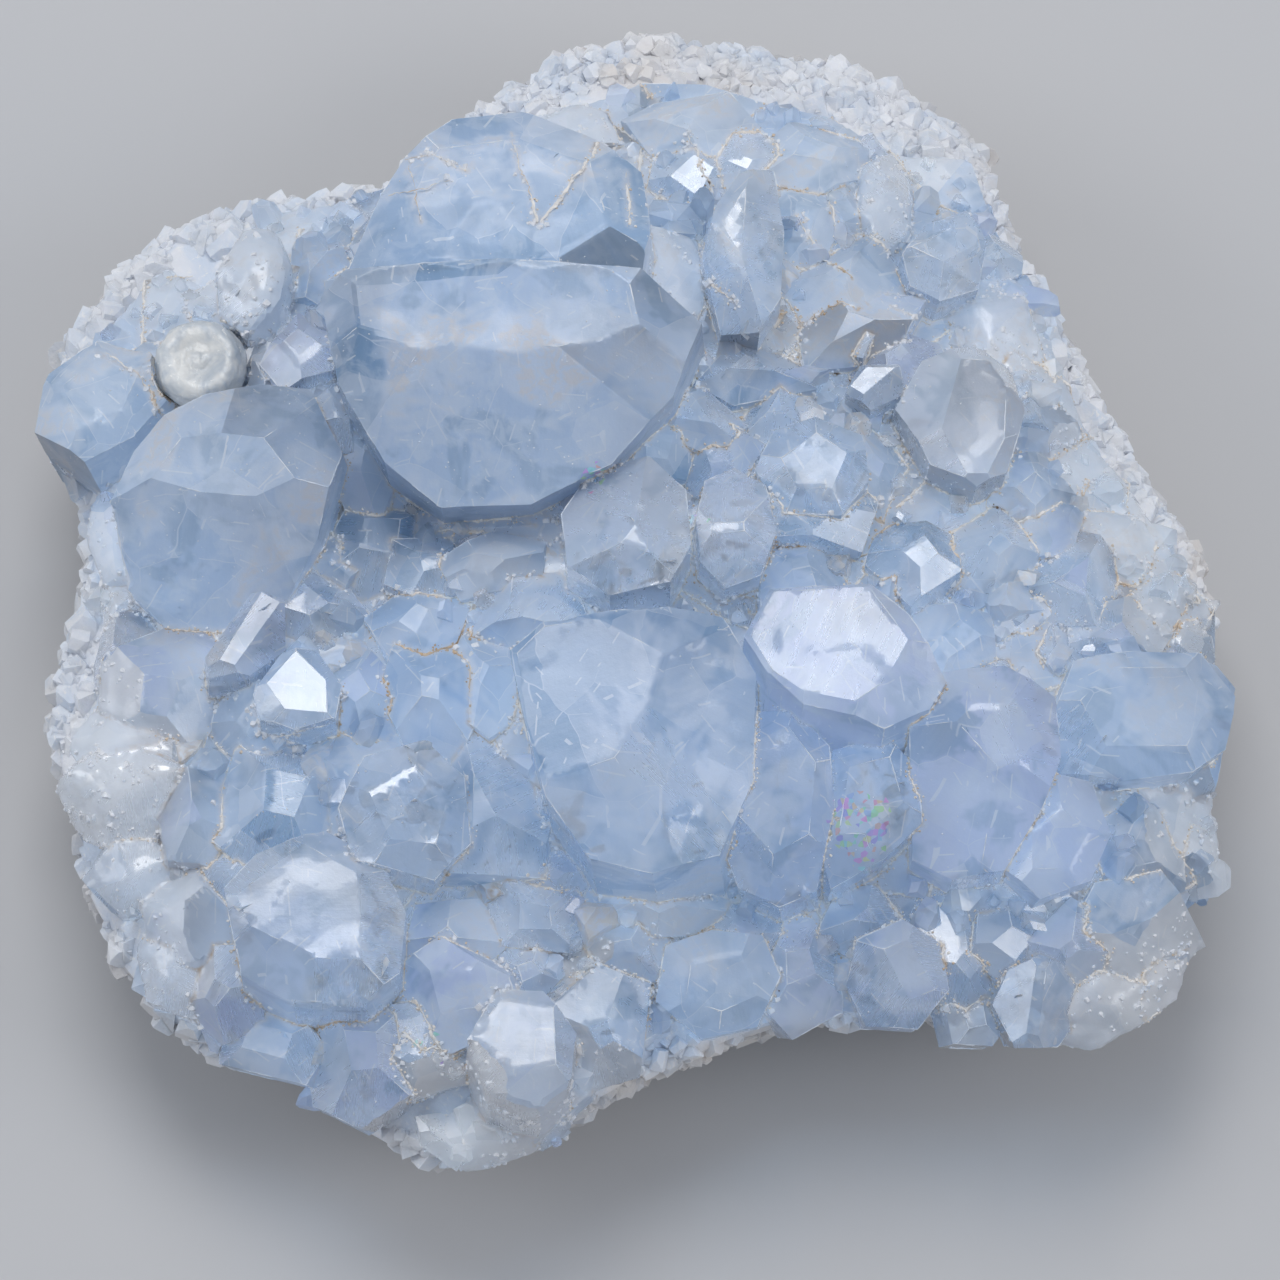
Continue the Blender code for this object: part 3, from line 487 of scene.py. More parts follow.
MILKY_PLACES = (
    ((-43.4, -8.0), 6.5, 1.0), ((-45.0, -1.8), 4.5, 0.9), ((-39.0, -16.6), 5.5, 0.7), ((-39.3, -22.7), 5.5, 0.6),
    ((-44.5, 9.5), 5.0, 0.9), ((-32.4, 34.5), 4.0, 0.85), ((-38.0, 34.0), 7.0, 0.7), ((22.5, 45.5), 4.5, 1.0),
    ((31.3, 27.7), 3.5, 0.9), ((37.0, 18.0), 3.5, 0.8), ((41.0, 13.0), 4.5, 0.9), ((44.5, 7.0), 4.5, 0.8),
    ((46.3, -12.0), 4.0, 0.9), ((40.2, -24.8), 4.5, 0.9), ((1.6, 34.7), 3.5, 0.85), ((-6.0, 48.5), 4.5, 0.8),
    ((-14.0, -35.5), 7.0, 1.0), ((-4.1, -21.9), 3.0, 0.7), ((-4.0, -33.0), 4.5, 0.6), ((8.0, 46.0), 6.0, 0.35),
)


#   (right, up)     radius  amount
DUSTY_PLACES = (
    ((-13.0, 40.0), 11.0, 0.65), ((-12.0, 26.0), 12.0, 0.9), ((-36.0, 14.0), 12.0, 0.7), ((-45.0, 24.0), 8.0, 0.65),
    ((-30.0, 34.0), 9.0, 0.5), ((10.0, 40.0), 14.0, 0.7), ((28.0, 34.0), 14.0, 0.7), ((12.0, 12.0), 8.0, 0.45),
    ((0.0, 12.0), 12.0, 0.4), ((38.0, 10.0), 14.0, 0.5), ((-2.0, -26.0), 16.0, 0.4), ((20.0, 24.0), 14.0, 0.5),
)
RAINBOW_PLACES = (
    ((17.6, -11.0), 3.2, 1.0), ((18.5, -13.5), 2.2, 1.0), ((-3.7, 16.6), 1.6, 1.0), ((11.0, -8.0), 3.0, 0.6),
    ((5.0, 13.0), 1.6, 0.7), ((-23.0, -28.0), 2.6, 0.6), ((-17.0, -29.5), 2.2, 0.7),
)


def share_of_places(point, places):
    """How much a point belongs to places in the picture, given as (right, up), radius and amount."""
    across, up = in_picture(point)
    return max(amount * smooth(1.3, 0.6, math.hypot(across - x, up - y) / radius) for (x, y), radius, amount in places)


draw = random.Random(5)
looks = [[(Vector(), (0.2 + 0.7 * draw.random(), 0.3 * draw.random() ** 2, draw.random()))]
         for _ in range(crystal_count + 1)]
for place, *look in CRYSTAL_LOOKS:
    point, _, number = seen_at(*place)
    if number is None:
        print("no crystal is seen at", place)
        continue
    crystal = looks[facets[number].crystal]
    if not crystal[0][0].length:
        crystal.clear()
    crystal.append((point, look))

for facet in facets:
    _, (facet.tone, facet.milk, facet.gloss) = min(looks[facet.crystal], key=lambda row: (row[0] - facet.middle).length)
    facet.milk = max(facet.milk, share_of_places(facet.middle, MILKY_PLACES))
    facet.dust = share_of_places(facet.middle, DUSTY_PLACES)
    if facet.is_bed:
        facet.tone, facet.milk = 0.3, max(facet.milk, 0.25)
    facet.gloss = min(1.0, max(0.0, facet.gloss + 0.3 * (draw.random() - 0.5)))
print("looks for", crystal_count, "crystals")

# %% [markdown]
# ## Giving the crystal faces their relief
#
# A large celestite face is rarely one mirror. It grew as a mosaic of nearly parallel blocks, so it shows
# plates that tip a degree or two against each other, low steps between them, and a slight waviness. Bump
# mapping could shade that, but it would be flat from the side and at the edges. So the faces are cut into
# small triangles, finest along valleys and broken shells, and the relief is real. A Voronoi pattern gives the blocks.

# %% Mosaic blocks
MOSAIC_SIZE = 6.5 * MM
MOSAIC_TILT = 0.014
MOSAIC_STEP = 0.05 * MM
LARGE_FACE = 16.0
WAVINESS = 0.05 * MM


def mosaic(point):
    """The block that a point lies in, and how far it is from the next one."""
    bent = point + noise.noise_vector(point / (4.0 * MM)) * (0.9 * MM)
    distances, centres = noise.voronoi(bent / MOSAIC_SIZE)
    return centres[0], (distances[1] - distances[0]) * MOSAIC_SIZE


def valley_distance(point):
    return valleys.find(point)[2]


# %% [markdown]
# Celestite breaks like glass where it isn't cleaved, in shallow shells. The largest crystal has lost a row of
# them along its upper edge, and other big crystals are chipped along their edges here and there. Each shell
# is a part of a sphere: points inside the sphere are pushed out to its surface, which scoops the crystal.

# %% Broken shells
#   (right, up)    radius  depth
BROKEN_PLACES = (
    ((-18.5, 31.4), 5.5, 1.0), ((-11.0, 30.6), 5.0, 0.9), ((-4.6, 31.2), 4.4, 0.8),
    ((-28.6, -24.0), 3.6, 0.6), ((-23.5, -25.2), 3.2, 0.6), ((-31.0, -22.0), 2.4, 0.4),
    ((-18.0, 38.5), 4.4, 0.35), ((-8.0, 41.5), 4.6, 0.4), ((-12.0, 35.8), 3.4, 0.35),
    ((1.0, 6.0), 2.6, 0.3), ((14.0, -14.5), 2.4, 0.4), ((-43.0, 27.0), 3.0, 0.4),
    ((24.0, 37.0), 1.8, 0.3), ((-38.5, 8.0), 2.4, 0.3), ((4.5, -13.0), 2.6, 0.35),
)
CHIPS = 26
CHIP_RADIUS = (0.4, 1.1)
CHIP_DEPTH = (0.12, 0.24)
SHELL_WAVE = 0.22

shells = []


def break_shell(place, normal, radius, depth):
    """Adds the sphere that scoops a shell of this radius and depth at a place."""
    sphere = (radius**2 + depth**2) / (2.0 * depth)
    shells.append((place, radius * MM, place + normal * (sphere - depth) * MM, sphere * MM, normal))


for seen, radius, depth in BROKEN_PLACES:
    place, normal, _ = seen_at(*seen)
    break_shell(place, normal, radius, depth)
draw = random.Random(17)
ridges = [edge for edge in crust.edges if len(edge.link_faces) == 2 and edge.calc_face_angle_signed(0.0) > 0.3
          and edge.calc_length() > 2.0 * MM
          and any(facets[face[facet_layer]].area > LARGE_FACE for face in edge.link_faces)]
for edge in draw.sample(ridges, min(CHIPS, len(ridges))):
    radius = draw.uniform(*CHIP_RADIUS)
    place = edge.verts[0].co.lerp(edge.verts[1].co, draw.random())
    normal = (edge.link_faces[0].normal + edge.link_faces[1].normal).normalized()
    break_shell(place, normal, radius, radius * draw.uniform(*CHIP_DEPTH))
print(len(shells), "broken shells")


def shell_scoop(point, shell):
    """How deep a point lies inside a shell's sphere, which is made uneven by noise."""
    place, radius, middle, sphere, _ = shell
    wave = noise.noise((point - place) / radius * 1.4 + place / MM) * SHELL_WAVE * radius * 0.3
    return sphere + wave - (point - middle).length


def shell_distance(point):
    """How far a point is from the edge of the nearest broken shell."""
    near = [abs(shell_scoop(point, shell)) for shell in shells if (point - shell[0]).length < 1.3 * shell[1]]
    return min(near, default=COARSEST)


# %% Cut the faces into small triangles
FINEST = 0.46 * MM
COARSEST = 1.1 * MM
ROUNDS = 9


def crust_edge_limit(edge):
    """How long an edge of the crust may stay."""
    if all(face[hidden_layer] for face in edge.link_faces):
        return 1.0
    middle = edge.verts[0].co.lerp(edge.verts[1].co, 0.5)
    near = valley_distance(middle)
    return min(COARSEST, FINEST + 0.45 * min(near, shell_distance(middle)))


def drop_doubled_faces(shape):
    """Keeps one face of each set that has the same corners, which slivers leave behind when they are cut."""
    shape.verts.index_update()
    kept, doubled = {}, []
    for face in shape.faces:
        if kept.setdefault(tuple(sorted(vert.index for vert in face.verts)), face) is not face:
            doubled.append(face)
    bmesh.ops.delete(shape, geom=doubled, context="FACES_ONLY")
    print(len(doubled), "doubled faces dropped")


def cut_finely(shape, shortest, limit):
    """Halves the edges that are longer than the limit says, until none is left."""
    bmesh.ops.triangulate(shape, faces=shape.faces[:])
    for _ in range(ROUNDS):
        too_long = [edge for edge in shape.edges
                    if edge.calc_length() > shortest and edge.calc_length() > limit(edge)]
        if not too_long:
            break
        bmesh.ops.subdivide_edges(shape, edges=too_long, cuts=1)
        bmesh.ops.triangulate(shape, faces=[face for face in shape.faces if len(face.verts) > 3])
    drop_doubled_faces(shape)


cut_finely(crust, FINEST, crust_edge_limit)
print("crust:", len(crust.faces), "small triangles")

# %% Move the points
SINK = 0.9 * MM
SEAM_REACH = 0.9 * MM


def relief(point, facet, number):
    """How far the surface stands above this face's plane."""
    seed = Vector((number * 0.37, number * 0.11, number * 0.23))
    height = WAVINESS * noise.noise(point / (3.0 * MM) + seed)
    if facet.area > LARGE_FACE:
        block, _ = mosaic(point)
        pick = noise.cell_vector(block * 3.1 + seed)
        lean = Vector((pick.y - 0.5, pick.z - 0.5, pick.x - 0.5)) * 2.0 * MOSAIC_TILT
        height += lean.dot(point - block * MOSAIC_SIZE) - MOSAIC_STEP * pick.x
    return height


seam_layer = crust.verts.layers.float.new("seam")
moves = []
for vert in crust.verts:
    near = valley_distance(vert.co)
    vert[seam_layer] = 1.0 - min(1.0, near / SEAM_REACH)
    numbers = {face[facet_layer] for face in vert.link_faces if not face[hidden_layer]}
    if len(numbers) < len({face[facet_layer] for face in vert.link_faces}):
        _, outward, _, distance = rind_tree.find_nearest(vert.co)
        moves.append(outward * -(min(distance, GAP_TO_RIND) + SINK))
        continue
    shift = sum((facets[number].normal * relief(vert.co, facets[number], number) for number in numbers), Vector())
    moves.append(shift * smooth(0.1 * MM, 1.3 * MM, near) / len(numbers))
for vert, move in zip(crust.verts, moves):
    vert.co += move
    if vert[seam_layer] < 1.0 and not any(face[hidden_layer] for face in vert.link_faces):
        for shell in shells:
            place, radius, _, _, normal = shell
            inside = (vert.co - place).length / radius
            if inside < 1.25 and vert.normal.dot(normal) > 0.3:
                depth = max(0.0, shell_scoop(vert.co, shell)) * smooth(1.25, 1.0, inside)
                vert.co -= normal * depth
print("relief on", len(crust.verts), "points")

# %% Wear the milky crystals round
WORN_MILK = 0.45
WORN_ROUNDS = 7
SUGAR_HEIGHT = 0.16 * MM

worn = [vert for vert in crust.verts if not any(face[hidden_layer] for face in vert.link_faces)
        and sum(facets[face[facet_layer]].milk for face in vert.link_faces) > WORN_MILK * len(vert.link_faces)]
for _ in range(WORN_ROUNDS):
    bmesh.ops.smooth_vert(crust, verts=worn, factor=0.5, use_axis_x=True, use_axis_y=True, use_axis_z=True)
crust.normal_update()
for vert in worn:
    bumps = noise.noise(vert.co / (0.9 * MM)) + 0.6 * noise.noise(vert.co / (2.4 * MM))
    vert.co += vert.normal * bumps * SUGAR_HEIGHT
print(len(worn), "points worn round")

# %% [markdown]
# The looks are stored as attributes on the mesh, so one material serves the whole crust. Each face also gets
# its own flat coordinates in millimetres, with one direction along the crystal's slope. Fine growth lines are
# drawn in them, so that they run down each face and not through the whole cluster.

# %% Store the looks
names = ("tone", "milk", "gloss", "dust")
layers = [crust.faces.layers.float.new(name) for name in names]
room_layer = crust.faces.layers.float.new("room")
rainbow_layer = crust.verts.layers.float.new("rainbow")
for vert in crust.verts:
    vert[rainbow_layer] = share_of_places(vert.co, RAINBOW_PLACES)
uv_layer = crust.loops.layers.uv.new("growth")
for face in crust.faces:
    facet = facets[face[facet_layer]]
    for name, layer in zip(names, layers):
        face[layer] = getattr(facet, name)
    down = Vector((0.0, 0.0, -1.0)) - facet.normal * -facet.normal.z
    down = down.normalized() if down.length > 0.05 else right - facet.normal * facet.normal.x
    side = facet.normal.cross(down)
    for loop in face.loops:
        away = loop.vert.co - facet.middle
        loop[uv_layer].uv = (away.dot(side) / MM + facet.crystal * 7.0, away.dot(down) / MM)


def mesh_from(shape, name, sharp_angle):
    """A smooth-shaded mesh with sharp edges where faces meet at more than this angle."""
    mesh = bpy.data.meshes.new(name)
    shape.to_mesh(mesh)
    mesh.shade_smooth()
    mesh.set_sharp_from_angle(angle=math.radians(sharp_angle))
    return mesh


crust_piece = add_object("crystal_crust", mesh_from(crust, "crystal_crust", 11.0))
print("crust piece:", len(crust_piece.data.polygons), "triangles")

# %% [markdown]
# ## Celestite
#
# Celestite is clear, with a pale blue body colour, an index of refraction of 1.62 and a glassy lustre. These
# crystals are full of tiny inclusions, so light goes in and comes back out clouded. A transmission of well
# over a half makes them see-through, the base colour gives the clouded share, and the absorption makes thick
# places bluer. Cream clay and a little rust fill the valleys between crystals.

# %% Celestite material


def crystal_material(name, clearness, colour_depth):
    material, surface = material_with(name)
    tree = material.node_tree
    tone, milk, gloss, seam, dust, rainbow = (
        attribute(tree, name) for name in ("tone", "milk", "gloss", "seam", "dust", "rainbow"))
    lines = add_node(tree, "ShaderNodeUVMap", uv_map="growth").outputs["UV"]
    stretched = add_node(tree, "ShaderNodeMapping", {"Vector": lines, "Scale": (1.6, 0.12, 1.0)})
    streaks = add_node(tree, "ShaderNodeTexNoise",
                       {"Vector": stretched.outputs["Vector"], "Scale": 1.0, "Detail": 4.0, "Roughness": 0.7})
    streak_mask = ramp(tree, streaks.outputs["Fac"], (0.42, 0.0), (0.68, 1.0))

    def times(mask, amount):
        return math_node(tree, "MULTIPLY", mask, amount)

    # The dark end of this ramp is partly painted shade: crystals deep between others get a tone near 0.
    body = ramp(tree, tone, (0.0, (0.24, 0.40, 0.60)), (0.25, (0.38, 0.55, 0.77)), (0.55, (0.52, 0.67, 0.89)),
                (0.8, (0.58, 0.66, 0.92)), (1.0, (0.74, 0.82, 0.97)))
    windows = place_group(tree, milky_clouds, Scale=170.0, Least=0.50, Most=0.60)
    body = blend(tree, times(windows, 0.65), body, (0.22, 0.38, 0.56))
    clouds = place_group(tree, milky_clouds, Scale=120.0, Least=0.47, Most=0.60)
    body = blend(tree, times(clouds, 0.75), body, (0.76, 0.84, 0.96))
    planes = place_group(tree, inner_planes, Scale=190.0, Line=0.012)
    body = blend(tree, times(planes, 0.8), body, (0.84, 0.89, 0.97))
    cracks = place_group(tree, cleavage, Scale=260.0, Spacing=0.0007, Width=0.00006, Rarity=0.56)
    body = blend(tree, times(cracks, 0.7), body, (0.95, 0.97, 1.0))
    body = blend(tree, times(streak_mask, 0.15), body, (0.78, 0.84, 0.92))
    body = blend(tree, milk, body, (0.97, 0.98, 1.0))

    veil = place_group(tree, milky_clouds, Scale=420.0, Least=0.46, Most=0.62)
    body = blend(tree, times(times(veil, dust), 0.65), body, (0.76, 0.84, 0.94))
    cream = place_group(tree, milky_clouds, Scale=120.0, Least=0.55, Most=0.64)
    fine_cream = place_group(tree, milky_clouds, Scale=900.0, Least=0.38, Most=0.60)
    body = blend(tree, times(times(times(cream, fine_cream), dust), 0.85), body, (0.86, 0.80, 0.75))
    near_seam = ramp(tree, seam, (0.25, 0.0), (1.0, 0.8))
    body = blend(tree, times(near_seam, math_node(tree, "ADD", fine_cream, 0.35, clamp=True)), body,
                 (0.88, 0.89, 0.93))

    flakes = add_node(tree, "ShaderNodeTexVoronoi",
                      {"Vector": add_node(tree, "ShaderNodeTexCoord").outputs["Object"], "Scale": 2100.0})
    hue = add_node(tree, "ShaderNodeSeparateColor", {"Color": flakes.outputs["Color"]})
    spectrum = add_node(tree, "ShaderNodeCombineColor", {0: hue.outputs[0], 1: 0.55, 2: 0.95}, mode="HSV")
    flake = times(math_node(tree, "GREATER_THAN", times(hue.outputs[1], rainbow), 0.62), 0.85)
    body = blend(tree, flake, body, spectrum.outputs[0])

    clay = blend(tree, cream, (0.84, 0.77, 0.70), (0.64, 0.47, 0.31))
    where_clay = place_group(tree, milky_clouds, Scale=60.0, Least=0.34, Most=0.56)
    deep = ramp(tree, seam, (0.60, 0.0), (0.92, 1.0))
    clay_mask = times(times(deep, where_clay), fine_cream)
    body = blend(tree, times(clay_mask, 0.9), body, clay)
    tree.links.new(body, surface.inputs["Base Color"])

    rough = ramp(tree, gloss, (0.0, 0.50), (0.5, 0.28), (1.0, 0.11))
    rough = blend(tree, times(streak_mask, 0.35), rough, (0.5, 0.5, 0.5))
    dull = math_node(tree, "MAXIMUM", clay_mask, times(veil, dust))
    tree.links.new(blend(tree, times(dull, 0.7), rough, (0.8, 0.8, 0.8)), surface.inputs["Roughness"])
    shine = ramp(tree, gloss, (0.25, 0.05), (0.85, 1.0))
    tree.links.new(blend(tree, clay_mask, shine, (0.0, 0.0, 0.0)), surface.inputs["Coat Weight"])
    surface.inputs["Coat Roughness"].default_value = 0.07
    surface.inputs["Coat IOR"].default_value = 1.6
    surface.inputs["Transmission Weight"].default_value = clearness
    surface.inputs["IOR"].default_value = 1.62
    fine = add_node(tree, "ShaderNodeMapping", {"Vector": lines, "Scale": (5.0, 0.35, 1.0)})
    ridges = add_node(tree, "ShaderNodeTexNoise", {"Vector": fine.outputs["Vector"], "Scale": 1.0, "Detail": 3.0})
    weathered = place_group(tree, weathering, Scale=1800.0, Depth=0.00006, Amount=0.45)
    lined = add_node(tree, "ShaderNodeBump", {"Height": ridges.outputs["Fac"], "Distance": 0.00006,
                                              "Strength": 0.12, "Normal": weathered})
    tree.links.new(lined.outputs["Normal"], surface.inputs["Normal"])
    absorb = add_node(tree, "ShaderNodeVolumeAbsorption", {"Color": (0.30, 0.58, 0.84, 1.0), "Density": colour_depth})
    end = tree.nodes["Material Output"]
    tree.links.new(absorb.outputs["Volume"], end.inputs["Volume"])
    passing = add_node(tree, "ShaderNodeBsdfTransparent", {"Color": (0.78, 0.86, 0.93, 1.0)})
    shadow = add_node(tree, "ShaderNodeLightPath").outputs["Is Shadow Ray"]
    either = add_node(tree, "ShaderNodeMixShader", {0: shadow, 1: surface.outputs[0], 2: passing.outputs[0]})
    tree.links.new(either.outputs[0], end.inputs["Surface"])
    return material


celestite = crystal_material("clear_celestite", 0.60, 32.0)
milky_celestite = crystal_material("milky_celestite", 0.46, 25.0)
for finish in (celestite, milky_celestite):
    crust_piece.data.materials.append(finish)
MILKY = 0.5
for polygon in crust_piece.data.polygons:
    facet = facets[crust_piece.data.attributes["facet"].data[polygon.index].value]
    polygon.material_index = 1 if max(facet.milk, facet.dust) > MILKY else 0
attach(crust_piece, "root")
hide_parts("celestite_crust")

# %% [markdown]
# ## The sugary rind
#
# Behind the crystals lies a thin wall of fine white celestite and calcite grains, which shows all around the
# rim and on the back. Its surface is refined and roughened here, and the next step strews grains on it. Only
# the share that the crust doesn't cover is worth small triangles.

# %% Refine the rind
COVERED = 1.2 * MM
RIND_TRIANGLE = 0.85 * MM
FOOT = 2.0 * MM

covered_layer = rind.faces.layers.int.new("covered")
for face in rind.faces:
    place, outward, _, distance = crust_tree.find_nearest(face.calc_center_median())
    face[covered_layer] = distance < COVERED


def rind_edge_limit(edge):
    covered = all(face[covered_layer] for face in edge.link_faces)
    return 3.5 * MM if covered else RIND_TRIANGLE


cut_finely(rind, RIND_TRIANGLE, rind_edge_limit)


def grainy(point):
    """Roughness of the rind: coarse lumps with fine grains on them."""
    lumps = noise.noise(point / (5.0 * MM)) * 0.5
    knobs = noise.noise(point / (1.9 * MM)) * 0.35
    distances, _ = noise.voronoi(point / (1.3 * MM))
    return (lumps + knobs + 0.45 * (0.5 - distances[0])) * MM


rind.normal_update()
rind_moves = []
room_layer = rind.faces.layers.float.new("room")
milk_layer = rind.faces.layers.float.new("milk")
for vert in rind.verts:
    covered = any(face[covered_layer] for face in vert.link_faces)
    calm = 0.0 if covered else smooth(0.0, FOOT, vert.co.z)
    rind_moves.append(vert.normal * grainy(vert.co) * calm)
for vert, move in zip(rind.verts, rind_moves):
    vert.co += move
# Faces that look down get a lower milk value, which the rind material turns towards a dark brownish grey: painted shade
# on the underside.
for face in rind.faces:
    middle = face.calc_center_median()
    beneath = smooth(0.2, -0.5, face.normal.z)
    face[room_layer] = 0.0 if face[covered_layer] else (1.0 - 0.75 * beneath) * smooth(0.0, FOOT, middle.z)
    face[milk_layer] = 1.0 - 0.6 * beneath
rind_piece = add_object("sugary_rind", mesh_from(rind, "sugary_rind", 35.0))
print("rind:", len(rind_piece.data.polygons), "triangles")

# %% Rind material


def pale_rind():
    material, surface = material_with("pale_rind")
    tree = material.node_tree
    tone, milk = attribute(tree, "tone"), attribute(tree, "milk")
    body = blend(tree, place_group(tree, milky_clouds, Scale=260.0, Least=0.38, Most=0.66),
                 (0.86, 0.87, 0.91), (0.70, 0.77, 0.88))
    body = blend(tree, place_group(tree, milky_clouds, Scale=70.0, Least=0.54, Most=0.76), body, (0.82, 0.76, 0.71))
    body = blend(tree, math_node(tree, "MULTIPLY", tone, 0.45), body, (0.88, 0.89, 0.92))
    body = blend(tree, place_group(tree, milky_clouds, Scale=1500.0, Least=0.58, Most=0.70), body, (0.92, 0.92, 0.93))
    # Painted shade: where the milk value is low, on faces that look down, the colour goes to a dark brownish grey.
    body = blend(tree, milk, (0.46, 0.42, 0.38), body)
    tree.links.new(body, surface.inputs["Base Color"])
    rough = ramp(tree, tone, (0.0, 0.70), (1.0, 0.22))
    tree.links.new(rough, surface.inputs["Roughness"])
    surface.inputs["Subsurface Weight"].default_value = 0.25
    surface.inputs["Subsurface Radius"].default_value = (1.0, 1.0, 1.1)
    surface.inputs["Subsurface Scale"].default_value = 0.0006
    tree.links.new(place_group(tree, weathering, Scale=2600.0, Depth=0.00012, Amount=0.8),
                   surface.inputs["Normal"])
    return material


rind_finish = pale_rind()
rind_piece.data.materials.append(rind_finish)
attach(rind_piece, "root")
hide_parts("matrix_rind")

# %% [markdown]
# ## Strewing small crystals, grains and crumbs
#
# Three things repeat in their thousands: white grains on the rind, small blue crystals on the bare ground
# between the large ones, and crumbs of clay in the valleys. One Geometry Nodes tree strews all of them. It
# picks shapes from a collection, leans them away from the surface, and reads from the surface itself how
# densely they stand (the attribute "room") and how large they grow ("grow").

# %% Small shapes


def cut_stone(name, length, seed, cuts):
    """A block with its corners and ends cut off by flat planes, like a small crystal."""
    draw = random.Random(seed)
    shape = bmesh.new()
    bmesh.ops.create_cube(shape, size=1.0)
    for vert in shape.verts:
        vert.co.z *= length
    for _ in range(cuts):
        direction = Vector((draw.uniform(-1, 1), draw.uniform(-1, 1), draw.uniform(-0.2, 1.2))).normalized()
        reach = max(vert.co.dot(direction) for vert in shape.verts)
        everything = shape.verts[:] + shape.edges[:] + shape.faces[:]
        cut = bmesh.ops.bisect_plane(shape, geom=everything, dist=1e-5, clear_outer=True,
                                     plane_co=direction * reach * draw.uniform(0.66, 0.84), plane_no=direction)
        rim = [part for part in cut["geom_cut"] if isinstance(part, bmesh.types.BMEdge)]
        if rim:
            bmesh.ops.edgeloop_fill(shape, edges=rim)
    bmesh.ops.remove_doubles(shape, verts=shape.verts, dist=0.02)
    bmesh.ops.recalc_face_normals(shape, faces=shape.faces)
    mesh = bpy.data.meshes.new(name)
    shape.to_mesh(mesh)
    return bpy.data.objects.new(name, mesh)


def shape_collection(name, lengths, cuts):
    made = bpy.data.collections.new(name)
    for number, length in enumerate(lengths):
        made.objects.link(cut_stone(f"{name}_{number}", length, number, cuts))
    return made


grains = shape_collection("grain", (1.0, 1.2, 0.9, 1.4), 4)
points = shape_collection("small_crystal", (1.6, 1.9, 1.4, 2.2, 1.7), 9)
crumbs = shape_collection("crumb", (0.8, 0.9, 1.1), 3)
plates = shape_collection("inner_plate", (0.03, 0.05, 0.04, 0.08), 5)

# %% The scattering tree


